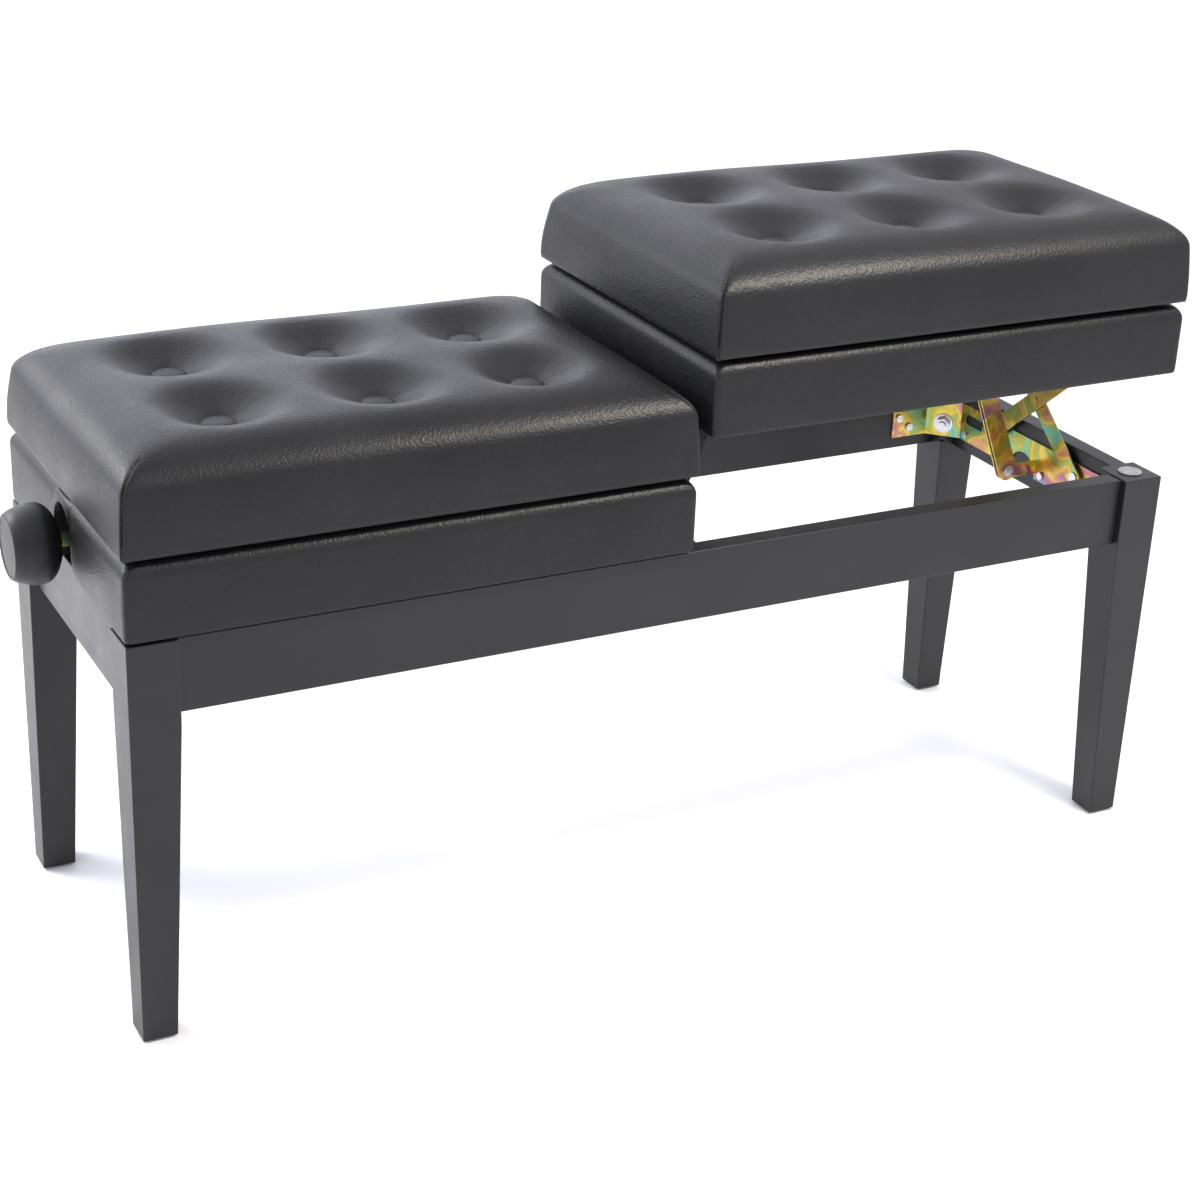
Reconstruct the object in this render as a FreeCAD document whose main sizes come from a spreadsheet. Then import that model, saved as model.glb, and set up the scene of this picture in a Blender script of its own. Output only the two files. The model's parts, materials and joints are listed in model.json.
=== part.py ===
import FreeCAD
import Part
import Sketcher
import math
import os
import re

from FreeCAD import Placement, Rotation, Vector

# Duet piano bench. Two storage seats stand side by side on one wooden frame. Turning a seat's knob
# drives two nuts apart along a screw; they push up a pair of drive links while two scissors keep
# the seat level. X runs along the bench, -Y is the front, Z is up, and the origin lies on the floor
# under the middle. The left seat is at its lowest and the right seat at its highest.

DIMENSIONS = {
    # wooden frame
    "bench_length": 1000,
    "bench_depth": 332,
    "leg_width": 42,
    "foot_width": 29.5,
    "leg_top": 357,
    "taper_top": 284,
    "leg_chamfer": 5,
    "glide_height": 2,
    "glide_radius": 9,
    "rail_height": 64,
    "rail_thickness": 19,
    "rail_recess": 7,
    "rail_drop": 1,
    "centre_rail_thickness": 22,
    "edge_round": 1,
    "felt_radius": 11.5,
    "felt_thickness": 1.7,
    "rest_clearance": 0.3,
    # leg bolts and screws
    "bolt_radius": 4,
    "bolt_inside": 13,
    "bolt_in_leg": 26,
    "bolt_height": 318,
    "washer_radius": 10,
    "washer_thickness": 1.6,
    "nut_width": 13,
    "nut_thickness": 6.5,
    "screw_radius": 2,
    "screw_head_radius": 4,
    "screw_head_height": 2.2,
    "screw_length": 12,
    # seat boxes
    "seat_gap": 10,
    "box_height": 64,
    "box_wall": 14,
    "skin_thickness": 2,
    "skin_round": 9,
    "wood_top_drop": 4,
    "wood_round": 7,
    "wood_top_round": 5,
    "floor_height": 43,
    "floor_thickness": 4,
    "notch_half_width": 24,
    "notch_height": 57,
    "lift_travel": 100,
    "raise_left": 0,
    "raise_right": 100,
    # lids
    "lid_gap": 4,
    "lid_overhang": 1,
    "lid_board_thickness": 12,
    "lid_board_inset": 2,
    "cushion_height": 79,
    "cushion_round": 28,
    "cushion_corner": 8,
    "button_radius": 15.2,
    "button_height": 5,
    "button_sink": 13,
    "button_stem_radius": 1.5,
    "button_pitch_along": 135,
    "button_pitch_across": 128,
    # lid hinges
    "hinge_axis_inset": 0.7,
    "hinge_length": 60,
    "hinge_offset": 165,
    "knuckle_radius": 1.7,
    "hinge_pin_radius": 0.8,
    "leaf_thickness": 0.9,
    "leaf_width": 26,
    "hinge_play": 0.3,
    # screw drive
    "drive_centre": 242.5,
    "rod_height": 24,
    "rod_radius": 6,
    "collar_radius": 9,
    "collar_length": 3,
    "collar_play": 0.5,
    "running_clearance": 0.05,
    "travel_nut_half_length": 11,
    "travel_nut_half_width": 7.5,
    "trunnion_radius": 3.5,
    "trunnion_head_radius": 6.3,
    # knob
    "knob_back": 505,
    "knob_widest": 520,
    "knob_front": 546,
    "knob_back_radius": 20,
    "knob_radius": 33.5,
    "knob_front_radius": 26,
    "knob_rim_round": 2,
    "knob_bore_end": 530,
    # drive links
    "link_length": 178.46,
    "link_foot_radius": 10.5,
    "link_head_radius": 8,
    "link_plate": 2,
    "link_slot_half_width": 5.3,
    "link_slot_length": 15,
    "link_plane": 12,
    "link_gap": 3,
    "link_pivot_from_centre": 195.5,
    "link_pivot_height": 318,
    "link_pin_radius": 3,
    "ear_thickness": 2.4,
    "ear_radius": 9,
    "ear_neck": 4.5,
    "rivet_head_radius": 5.5,
    "rivet_head_height": 1.2,
    "arm_head_height": 0.8,
    "rivet_play": 0.3,
    "spacer_shoulder": 2,
    # scissors
    "arm_length": 178,
    "arm_half_width": 9,
    "arm_thickness": 2,
    "arm_pivot_front": 78,
    "arm_pivot_height": 328,
    "arm_pin_rise": 15,
    "arm_pin_radius": 4,
    "arm_slide_radius": 5,
    "slide_clearance": 0.4,
    "slide_error": 4,
    "guide_reach": 1.4,
    # base plates and upper plates, placed by their distance from the middle of the drive
    "base_plate_near": 229.5,
    "plate_thickness": 2,
    "base_plate_bottom": 304,
    "base_plate_height": 38,
    "base_plate_bend": 113,
    "base_plate_flap": 42,
    "arch_half_width": 20,
    "arch_offset": 6,
    "arch_top": 325,
    "arm_a_near": 225.5,
    "arm_b_near": 222,
    "upper_plate_near": 218,
    "upper_plate_front": 98,
    "upper_plate_back": 116,
    "upper_plate_hang": 27,
    "upper_flange_width": 22,
    # how far a cutting tool runs past its part, and a welded pin into its part
    "past": 1,
    # the corner seat of a leg reaches this far past the base plate
    "seat_past": 6,
}

SIDES = {"left": -1, "right": 1}
ENDS = {"outer": 1, "inner": -1}

doc = FreeCAD.newDocument("PianoBench")
sheet = doc.addObject("Spreadsheet::Sheet", "Sizes")
for row, (alias, number) in enumerate(DIMENSIONS.items(), start=1):
    sheet.set("A%d" % row, alias)
    sheet.set("B%d" % row, str(number))
    sheet.setAlias("B%d" % row, alias)
doc.recompute()

ALIASES = re.compile(r"\b(%s)\b" % "|".join(DIMENSIONS))
TURN_Z_TO = {
    "X": Rotation(Vector(0, 1, 0), 90),
    "Y": Rotation(Vector(1, 0, 0), -90),
    "Z": Rotation(),
}
nodes = []


# ---- small building blocks -------------------------------------------------------------------

def formula(text):
    """An expression with every size name pointed at the sheet."""
    return ALIASES.sub(r"Sizes.\1", str(text))


def bind(item, **sizes):
    for name, text in sizes.items():
        item.setExpression(name, formula(text))
    return item


def place(item, x=0, y=0, z=0, turn=None):
    if turn is not None:
        item.Placement = Placement(Vector(), turn)
    for axis, text in (("x", x), ("y", y), ("z", z)):
        item.setExpression("Placement.Base." + axis, formula(text))
    return item


def block(x, y, z):
    """A box given as three (low, high) pairs."""
    item = doc.addObject("Part::Box", "Block")
    bind(item, Length="(%s) - (%s)" % (x[1], x[0]), Width="(%s) - (%s)" % (y[1], y[0]),
         Height="(%s) - (%s)" % (z[1], z[0]))
    return place(item, x[0], y[0], z[0])


def rod(axis, radius, low, high, across, up):
    """A cylinder along an axis from low to high; across and up are its other two coordinates."""
    item = doc.addObject("Part::Cylinder", "Rod")
    bind(item, Radius=radius, Height="(%s) - (%s)" % (high, low))
    spots = {"X": (low, across, up), "Y": (across, low, up), "Z": (across, up, low)}
    return place(item, *spots[axis], turn=TURN_Z_TO[axis])


def cut(base, *tools):
    for tool in tools:
        item = doc.addObject("Part::Cut", "Cut")
        item.Base, item.Tool = base, tool
        base = item
    return base


def fuse(*shapes):
    item = doc.addObject("Part::MultiFuse", "Fuse")
    item.Shapes = list(shapes)
    item.Refine = True
    return item


def group(*shapes):
    item = doc.addObject("Part::Compound", "Group")
    item.Links = list(shapes)
    return item


def node(label, item):
    item.Label = label
    nodes.append(item)
    return item


def span(sign, near, far):
    """The (low, high) pair of a stretch measured outwards from the middle on one side."""
    if sign > 0:
        return near, far
    return "-(%s)" % far, "-(%s)" % near


# ---- sketches and bodies ---------------------------------------------------------------------

def new_body(name):
    return doc.addObject("PartDesign::Body", name)


def new_sketch(body, plane, height="0"):
    sketch = body.newObject("Sketcher::SketchObject", "Sketch")
    base = [f for f in body.Origin.OriginFeatures if f.Role == plane][0]
    sketch.AttachmentSupport = [(base, "")]
    sketch.MapMode = "FlatFace"
    sketch.setExpression("AttachmentOffset.Base.z", formula(height))
    return sketch


def pin_point(sketch, geometry, point, x, y):
    """Tie a point of a sketch to two sizes, measured from the sketch's origin."""
    for kind, text in (("DistanceX", x), ("DistanceY", y)):
        index = sketch.addConstraint(Sketcher.Constraint(kind, -1, 1, geometry, point, 1.0))
        sketch.setExpression("Constraints[%d]" % index, formula(text))


def outline(sketch, corners):
    """A closed outline of straight lines."""
    count = len(corners)
    ring = [Vector(50 * math.cos(math.tau * i / count), 50 * math.sin(math.tau * i / count), 0)
            for i in range(count)]
    for i in range(count):
        sketch.addGeometry(Part.LineSegment(ring[i], ring[(i + 1) % count]), False)
    for i in range(count):
        sketch.addConstraint(Sketcher.Constraint("Coincident", i, 2, (i + 1) % count, 1))
    for i, (x, y) in enumerate(corners):
        pin_point(sketch, i, 1, x, y)
    return sketch


def rectangle(sketch, x, y):
    return outline(sketch, [(x[0], y[0]), (x[1], y[0]), (x[1], y[1]), (x[0], y[1])])


def pad(body, sketch, length, midplane=False):
    feature = body.newObject("PartDesign::Pad", "Pad")
    feature.Profile = sketch
    feature.setExpression("Length", formula(length))
    feature.Midplane = midplane
    return feature


def soften(body, feature, radius, wanted=None):
    """Round the edges of a feature, all of them or those that a test picks."""
    doc.recompute()
    names = ["Edge%d" % (i + 1) for i, edge in enumerate(feature.Shape.Edges)
             if wanted is None or wanted(edge)]
    fillet = body.newObject("PartDesign::Fillet", "Fillet")
    fillet.Base = (feature, names)
    fillet.setExpression("Radius", formula(radius))
    return fillet


def board(label, x, y, z):
    """A plain board with softened edges."""
    body = new_body(label)
    sketch = rectangle(new_sketch(body, "XY_Plane"), ("0", "(%s) - (%s)" % (x[1], x[0])),
                       ("0", "(%s) - (%s)" % (y[1], y[0])))
    soften(body, pad(body, sketch, "(%s) - (%s)" % (z[1], z[0])), "edge_round")
    return place(body, x[0], y[0], z[0])


# ---- wooden frame ----------------------------------------------------------------------------

HALF_LENGTH = "(bench_length / 2)"
HALF_DEPTH = "(bench_depth / 2)"
RAIL_TOP = "(leg_top - rail_drop)"
RAIL_BOTTOM = "(leg_top - rail_drop - rail_height)"
LEG_MIDDLE_X = "(bench_length / 2 - leg_width / 2)"
LEG_MIDDLE_Y = "(bench_depth / 2 - leg_width / 2)"
RAIL_FACE_Y = "(bench_depth / 2 - rail_recess - rail_thickness)"


def leg(label, side, back):
    """Square at the top; below the rails the two inner faces taper to the foot."""
    body = new_body(label + "_post")
    top = rectangle(new_sketch(body, "XY_Plane", "taper_top"),
                    span(-side, "0", "leg_width"), span(-back, "0", "leg_width"))
    pad(body, top, "leg_top - taper_top")
    foot = rectangle(new_sketch(body, "XY_Plane", "glide_height"),
                     span(-side, "0", "foot_width"), span(-back, "0", "foot_width"))
    loft = body.newObject("PartDesign::AdditiveLoft", "Loft")
    loft.Profile = top
    loft.Sections = [foot]
    loft.Ruled = True
    soften(body, loft, "edge_round", lambda edge: edge.Length > 20)
    place(body, "%d * %s" % (side, HALF_LENGTH), "%d * %s" % (back, HALF_DEPTH), 0)

    corner = doc.addObject("Part::Box", "CornerSeat")
    bind(corner, Length="leg_chamfer * sqrt(2)", Width="leg_chamfer * sqrt(2)",
         Height="leg_top - base_plate_bottom + 2 * seat_past")
    place(corner, "%d * (bench_length / 2 - leg_width)" % side,
          "%d * (bench_depth / 2 - leg_width) - leg_chamfer" % back, "base_plate_bottom - seat_past",
          turn=Rotation(Vector(0, 0, 1), 45))
    hole = leg_bolt_rod(side, back, "bolt_radius", "-bolt_inside", "bolt_in_leg")
    return node(label, cut(body, corner, hole))


def leg_bolt_rod(side, back, radius, low, high, kind="Part::Cylinder"):
    """A round or six-sided bar on the axis of a leg bolt; 0 is the leg's chamfered corner face."""
    item = doc.addObject(kind, "BoltBar")
    if kind == "Part::Prism":
        bind(item, Polygon="6", Circumradius="(%s) / sqrt(3)" % radius)
    else:
        bind(item, Radius=radius)
    bind(item, Height="(%s) - (%s)" % (high, low))
    outwards = Vector(side, back, 0)
    corner = "(%s / 2 - leg_width + leg_chamfer / 2 + (%s) / sqrt(2))"
    return place(item, "%d * " % side + corner % ("bench_length", low),
                 "%d * " % back + corner % ("bench_depth", low), "bolt_height",
                 turn=Rotation(Vector(0, 0, 1), outwards))


def frame(screw_holes):
    corners = [(name + "_" + side_name, side, back)
               for name, back in (("front", -1), ("back", 1)) for side_name, side in SIDES.items()]
    for name, side, back in corners:
        leg("leg_" + name, side, back)

    long_span = ("-(bench_length / 2 - leg_width)", "bench_length / 2 - leg_width")
    rail_z = (RAIL_BOTTOM, RAIL_TOP)
    for label, back in (("front_rail", -1), ("back_rail", 1)):
        depth = span(back, RAIL_FACE_Y, "bench_depth / 2 - rail_recess")
        node(label, cut(board(label + "_board", long_span, depth, rail_z), screw_holes))
    short_span = ("-(bench_depth / 2 - leg_width)", "bench_depth / 2 - leg_width")
    for side_name, side in SIDES.items():
        length = span(side, "bench_length / 2 - rail_recess - rail_thickness",
                      "bench_length / 2 - rail_recess")
        label = side_name + "_end_rail"
        node(label, cut(board(label + "_board", length, short_span, rail_z), screw_holes))
    width = ("-centre_rail_thickness / 2", "centre_rail_thickness / 2")
    centre = board("centre_rail_board", width, ("-" + RAIL_FACE_Y, RAIL_FACE_Y), rail_z)
    node("centre_rail", cut(centre, screw_holes))

    feet = [("%d * (bench_length / 2 - foot_width / 2)" % side,
             "%d * (bench_depth / 2 - foot_width / 2)" % back) for name, side, back in corners]
    node("foot_glides", group(*[rod("Z", "glide_radius", "0", "glide_height", x, y) for x, y in feet]))
    tops = [("%d * %s" % (side, LEG_MIDDLE_X), "%d * %s" % (back, LEG_MIDDLE_Y))
            for name, side, back in corners]
    node("leg_top_pads", group(*[rod("Z", "felt_radius", "leg_top", "leg_top + felt_thickness", x, y)
                                 for x, y in tops]))
    node("leg_bolt_sets", group(*[leg_bolt(side, back) for name, side, back in corners]))


def leg_bolt(side, back):
    """Hanger bolt, washer and nut, tightened against the base plate's corner."""
    face = "plate_thickness"
    shank = leg_bolt_rod(side, back, "bolt_radius", "-bolt_inside", "bolt_in_leg")
    washer = leg_bolt_rod(side, back, "washer_radius", "-(%s + washer_thickness)" % face, "-" + face)
    nut = leg_bolt_rod(side, back, "nut_width", "-(%s + washer_thickness + nut_thickness)" % face,
                       "-(%s + washer_thickness)" % face, "Part::Prism")
    return fuse(shank, washer, nut)


# ---- steel base plates -----------------------------------------------------------------------
# Each drive has an outer and an inner end. "Reach" is the distance from the middle of the drive
# along X, so that the plates, arms and links of all four ends share one set of sizes.

PLATE_FAR = "(base_plate_near + plate_thickness)"
REAR_HIGH = "(sqrt(arm_length^2 - (arm_pin_rise + lift_travel)^2) - arm_pivot_front)"
REAR_LOW = "(sqrt(arm_length^2 - arm_pin_rise^2) - arm_pivot_front)"
FLAP_BEND = "(%s + base_plate_bend - %s)" % (PLATE_FAR, RAIL_FACE_Y)
SLIDE_RADIUS = "(arm_slide_radius + slide_clearance)"


def reach(side, end, distance):
    return "%d * drive_centre + %d * (%s)" % (side, side * end, distance)


def reach_span(side, end, near, far):
    """The (low, high) X pair of a stretch between two reaches."""
    pair = reach(side, end, near), reach(side, end, far)
    return pair if side * end > 0 else pair[::-1]


def slot(x, radius, along, up):
    """The pieces of a slot cut through along X; along and up list its one or two centres in Y and Z."""
    pieces = [rod("X", radius, x[0], x[1], y, z) for y in along for z in up]
    if len(along) == 2:
        pieces.append(block(x, along, ("%s - %s" % (up[0], radius), "%s + %s" % (up[-1], radius))))
    if len(up) == 2:
        pieces.append(block(x, ("%s - %s" % (along[0], radius), "%s + %s" % (along[-1], radius)), up))
    return pieces


def screw_shanks():
    """The shanks and the heads of the screws that hold the base plates to the rails."""
    shanks, heads = [], []
    depth = "(screw_length - plate_thickness)"
    for side, end in DRIVE_ENDS:
        for y, z in FACE_SCREWS:
            x = reach_span(side, end, "base_plate_near", "%s + %s" % (PLATE_FAR, depth))
            shanks.append(rod("X", "screw_radius", x[0], x[1], y, z))
            x = reach_span(side, end, "base_plate_near - screw_head_height", "base_plate_near")
            heads.append(rod("X", "screw_head_radius", x[0], x[1], y, z))
        for back in (-1, 1):
            for along, z in FLAP_SCREWS:
                x = reach(side, end, along)
                face = "%s - plate_thickness" % RAIL_FACE_Y
                y = span(back, face, "%s + %s" % (RAIL_FACE_Y, depth))
                shanks.append(rod("Y", "screw_radius", y[0], y[1], x, z))
                y = span(back, "%s - screw_head_height" % face, face)
                heads.append(rod("Y", "screw_head_radius", y[0], y[1], x, z))
    return shanks, heads


DRIVE_ENDS = [(side, end) for side in SIDES.values() for end in ENDS.values()]
FACE_SCREWS = [("-base_plate_bend + 10", "base_plate_bottom + 7"), ("-25", "base_plate_bottom + 7"),
               ("45", "base_plate_bottom + 7"), ("base_plate_bend - 10", "base_plate_bottom + 7")]
FLAP_SCREWS = [("%s - base_plate_flap + 7" % FLAP_BEND, "base_plate_bottom + 21"),
               ("%s - base_plate_flap + 20" % FLAP_BEND, "base_plate_bottom + 10")]


def base_plate(label, side, end, screw_holes):
    """A bent strip with an arch, a slide slot for the scissor and an ear for the drive link.
    The ear's neck is low, so that the scissor clears it when it lies flat."""
    turn = side * end
    bend_sum = "(%s + base_plate_bend)" % PLATE_FAR
    inner_sum = "(%s - plate_thickness * sqrt(2))" % bend_sum
    inner_flap = "(%s - plate_thickness)" % RAIL_FACE_Y
    outer_half = [(PLATE_FAR, "base_plate_bend"), (FLAP_BEND, RAIL_FACE_Y),
                  ("%s - base_plate_flap" % FLAP_BEND, RAIL_FACE_Y)]
    inner_half = [("%s - base_plate_flap" % FLAP_BEND, inner_flap),
                  ("%s - %s" % (inner_sum, inner_flap), inner_flap),
                  ("base_plate_near", "%s - base_plate_near" % inner_sum)]
    half = outer_half + inner_half
    corners = half + [(x, "-(%s)" % y) for x, y in reversed(half)]
    body = new_body(label + "_strip")
    strip = outline(new_sketch(body, "XY_Plane"), [("%d * (%s)" % (turn, x), y) for x, y in corners])
    pad(body, strip, "base_plate_height")
    place(body, "%d * drive_centre" % side, 0, "base_plate_bottom")

    through = reach_span(side, end, "base_plate_near - past", PLATE_FAR + " + past")
    arch_spring = "(arch_top - arch_half_width)"
    tools = [rod("X", "arch_half_width", through[0], through[1], "arch_offset", arch_spring),
             block(through, ("arch_offset - arch_half_width", "arch_offset + arch_half_width"),
                   ("base_plate_bottom - past", arch_spring)),
             rod("X", "arm_pin_radius", through[0], through[1], "-arm_pivot_front", "arm_pivot_height")]
    tools += slot(through, SLIDE_RADIUS, (REAR_HIGH, REAR_LOW), ("arm_pivot_height",))
    if end > 0:
        tools += [leg_bolt_rod(side, back, "bolt_radius", "-bolt_inside", "bolt_in_leg")
                  for back in (-1, 1)]

    ear_y = ("-link_plane - ear_thickness / 2", "-link_plane + ear_thickness / 2")
    ear_x = reach_span(side, end, "link_pivot_from_centre", "base_plate_near + plate_thickness / 2")
    pivot_x = reach(side, end, "link_pivot_from_centre")
    ear = fuse(cut(body, *tools, screw_holes),
               block(ear_x, ear_y, ("link_pivot_height - ear_radius", "link_pivot_height + ear_neck")),
               rod("Y", "ear_radius", ear_y[0], ear_y[1], pivot_x, "link_pivot_height"))
    pivot_hole = rod("Y", "link_pin_radius", ear_y[0], ear_y[1], pivot_x, "link_pivot_height")
    return node(label, cut(ear, pivot_hole))


def base_pivot_pin(side, end):
    """The fixed pins of one end: the scissor's front pivot and the drive link's foot."""
    def along_x(radius, near, far):
        x = reach_span(side, end, near, far)
        return rod("X", radius, x[0], x[1], "-arm_pivot_front", "arm_pivot_height")

    def along_y(radius, low, high):
        return rod("Y", radius, low, high, reach(side, end, "link_pivot_from_centre"), "link_pivot_height")

    face = "(arm_a_near - rivet_play)"
    top = "(%s - arm_head_height)" % face
    scissor_pin = fuse(along_x("arm_pin_radius", top, PLATE_FAR),
                       along_x("rivet_head_radius", top, face),
                       along_x("arm_pin_radius + spacer_shoulder",
                               "arm_a_near + arm_thickness + rivet_play", "base_plate_near"))
    face = "(link_gap / 2 + link_plate + rivet_play)"
    top = "(%s + rivet_head_height)" % face
    link_pin = fuse(along_y("link_pin_radius", "-link_plane - " + top, "-link_plane + " + top),
                    along_y("rivet_head_radius", "-link_plane - " + top, "-link_plane - " + face),
                    along_y("rivet_head_radius", "-link_plane + " + face, "-link_plane + " + top))
    return [scissor_pin, link_pin]


# ---- seat boxes ------------------------------------------------------------------------------

SEAT_MIDDLE = "(bench_length / 4 + seat_gap / 4)"


def box_bottom(side_name):
    return "(leg_top + felt_thickness + rest_clearance + raise_%s)" % side_name


def rounded_block(label, x, y, z, corner, top):
    """A block with round upright corners and a round top edge."""
    body = new_body(label)
    sketch = rectangle(new_sketch(body, "XY_Plane"), ("0", "(%s) - (%s)" % (x[1], x[0])),
                       ("0", "(%s) - (%s)" % (y[1], y[0])))
    feature = pad(body, sketch, "(%s) - (%s)" % (z[1], z[0]))
    feature = soften(body, feature, corner, is_upright)
    soften(body, feature, top, is_top)
    return place(body, x[0], y[0], z[0])


def is_upright(edge):
    box = edge.BoundBox
    return box.ZLength > 1 and box.XLength < 1e-6 and box.YLength < 1e-6


def is_top(edge):
    return edge.BoundBox.ZLength < 1e-6 and edge.BoundBox.ZMin > 1


def seat_box(side_name, side):
    low = box_bottom(side_name)
    skin_x = span(side, "seat_gap / 2", "bench_length / 2")
    skin_y = ("-bench_depth / 2", "bench_depth / 2")
    wood_x = span(side, "seat_gap / 2 + skin_thickness", "bench_length / 2 - skin_thickness")
    wood_y = ("-bench_depth / 2 + skin_thickness", "bench_depth / 2 - skin_thickness")
    cave_x = span(side, "seat_gap / 2 + skin_thickness + box_wall",
                  "bench_length / 2 - skin_thickness - box_wall")
    cave_y = ("-bench_depth / 2 + skin_thickness + box_wall",
              "bench_depth / 2 - skin_thickness - box_wall")
    core = rounded_block(side_name + "_box_core", wood_x, wood_y,
                         (low, low + " + box_height - wood_top_drop"), "wood_round", "wood_top_round")
    cave = block(cave_x, cave_y, (low + " - past", low + " + box_height + past"))

    end_x = span(side, "bench_length / 2 - 3 * box_wall", "bench_length / 2 + past")
    crown = "%s + notch_height - notch_half_width" % low
    notch = fuse(block(end_x, ("-notch_half_width", "notch_half_width"), (low + " - past", crown)),
                 rod("X", "notch_half_width", end_x[0], end_x[1], "0", crown))
    node(side_name + "_box_frame", cut(core, cave, notch))
    node(side_name + "_box_floor",
         block(cave_x, cave_y, (low + " + floor_height", low + " + floor_height + floor_thickness")))
    skin = rounded_block(side_name + "_box_wrap", skin_x, skin_y, (low, low + " + box_height"),
                         "skin_round", "skin_round")
    node(side_name + "_box_leather", cut(skin, core, cave, notch))


def upper_plate(side_name, side, end_name, end):
    """The plate under the storage floor: bearing of the screw and upper guides of the scissor."""
    low = box_bottom(side_name)
    web_x = reach_span(side, end, "upper_plate_near", "upper_plate_near + plate_thickness")
    flange_x = reach_span(side, end, "upper_plate_near - upper_flange_width",
                          "upper_plate_near + plate_thickness")
    y = ("-upper_plate_front", "upper_plate_back")
    top = low + " + floor_height"
    plate = fuse(block(web_x, y, (low + " - upper_plate_hang", top)),
                 block(flange_x, y, (top + " - plate_thickness", top)))
    through = reach_span(side, end, "upper_plate_near - past", "upper_plate_near + plate_thickness + past")
    guide = "(%s - (leg_top + felt_thickness + rest_clearance - arm_pivot_height - arm_pin_rise))" % low
    heights = (guide, guide + " + slide_error")
    tools = slot(through, SLIDE_RADIUS, ("-arm_pivot_front",), heights)
    tools += slot(through, SLIDE_RADIUS, (REAR_HIGH, REAR_LOW), heights)
    bearing = rod("X", "rod_radius + running_clearance", through[0], through[1], "0", low + " + rod_height")
    tools.append(bearing)
    node("%s_%s_upper_plate" % (side_name, end_name), cut(plate, *tools))


# ---- lids ------------------------------------------------------------------------------------

def button_spots(side):
    return [("%d * %s + %d * button_pitch_along" % (side, SEAT_MIDDLE, i),
             "%d * button_pitch_across / 2" % j)
            for j in (-1, 1) for i in (-1, 0, 1)]


def seat_lid(side_name, side):
    """A board with a foam cushion on it; the buttons hold the cushion down through their stems."""
    low = box_bottom(side_name) + " + box_height + lid_gap"
    board_top = low + " + lid_board_thickness"
    top = low + " + cushion_height"
    x = span(side, "seat_gap / 2 - lid_overhang", "bench_length / 2 + lid_overhang")
    y = ("-bench_depth / 2 - lid_overhang", "bench_depth / 2 + lid_overhang")
    wood = block((x[0] + " + lid_board_inset", x[1] + " - lid_board_inset"),
                 (y[0] + " + lid_board_inset", y[1] + " - lid_board_inset"), (low, board_top))
    node(side_name + "_lid_board", wood)

    seat = top + " - button_sink"
    dimples, buttons = [], []
    for spot_x, spot_y in button_spots(side):
        dimple = doc.addObject("Part::Cone", "Dimple")
        bind(dimple, Radius1="button_radius + skin_thickness / 4",
             Radius2="button_radius + 2 * button_sink / 3", Height="button_sink + past")
        stem = rod("Z", "button_stem_radius", board_top, seat + " + past", spot_x, spot_y)
        dimples += [place(dimple, spot_x, spot_y, seat), stem]
        cap = doc.addObject("Part::Ellipsoid", "Cap")
        bind(cap, Radius1="button_height", Radius2="button_radius", Radius3="button_radius")
        cap.Angle1 = 0
        buttons.append(fuse(stem, place(cap, spot_x, spot_y, seat)))
    pillow = rounded_block(side_name + "_pillow", x, y, (board_top, top), "cushion_corner", "cushion_round")
    node(side_name + "_lid_cushion", cut(pillow, *dimples))
    node(side_name + "_cushion_buttons", group(*buttons))


def lid_hinges(side_name, side):
    """Two butt hinges in the gap at the back; the middle knuckle belongs to the lid."""
    box_top = box_bottom(side_name) + " + box_height"
    axis_y = "(bench_depth / 2 - hinge_axis_inset)"
    axis_z = "(%s + lid_gap / 2)" % box_top
    lid_low = "(%s + lid_gap)" % box_top
    edge = axis_y + " - knuckle_radius - 2 * hinge_play"
    leaf_y = (axis_y + " - leaf_width", edge)
    fixed, moving, pins = [], [], []
    for spot in (-1, 1):
        middle = "(%d * %s + %d * hinge_offset)" % (side, SEAT_MIDDLE, spot)
        at = lambda share: "%s + hinge_length * %s" % (middle, share)
        whole, bore_ends = (at("-0.5"), at("0.5")), (at("-0.6"), at("0.6"))
        third = (at("(-1 / 6)"), at("(1 / 6)"))
        outer_thirds = [(whole[0], third[0] + " - hinge_play"), (third[1] + " + hinge_play", whole[1])]
        bore = rod("X", "hinge_pin_radius + running_clearance", *bore_ends, axis_y, axis_z)
        pins.append(rod("X", "hinge_pin_radius", *whole, axis_y, axis_z))

        def leaf(knuckles, leaf_z):
            pieces = [block(whole, leaf_y, leaf_z)]
            for part in knuckles:
                pieces += [rod("X", "knuckle_radius", *part, axis_y, axis_z),
                           block(part, (edge, axis_y), leaf_z)]
            return cut(fuse(*pieces), bore)

        fixed.append(leaf(outer_thirds, (box_top, box_top + " + leaf_thickness")))
        moving.append(leaf([third], (lid_low + " - leaf_thickness", lid_low)))
    node(side_name + "_hinge_fixed_leaf", group(*fixed))
    node(side_name + "_hinge_moving_leaf", group(*moving))
    node(side_name + "_hinge_pin", group(*pins))


# ---- screw drive -----------------------------------------------------------------------------

def adjusting_screw(side_name, side):
    height = box_bottom(side_name) + " + rod_height"
    x = span(side, "drive_centre - upper_plate_near - plate_thickness - past", "knob_bore_end")
    pieces = [rod("X", "rod_radius", x[0], x[1], "0", height)]
    for end in ENDS.values():
        face = "upper_plate_near - collar_play"
        x = reach_span(side, end, face + " - collar_length", face)
        pieces.append(rod("X", "collar_radius", x[0], x[1], "0", height))
    node(side_name + "_adjusting_screw", fuse(*pieces))


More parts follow.
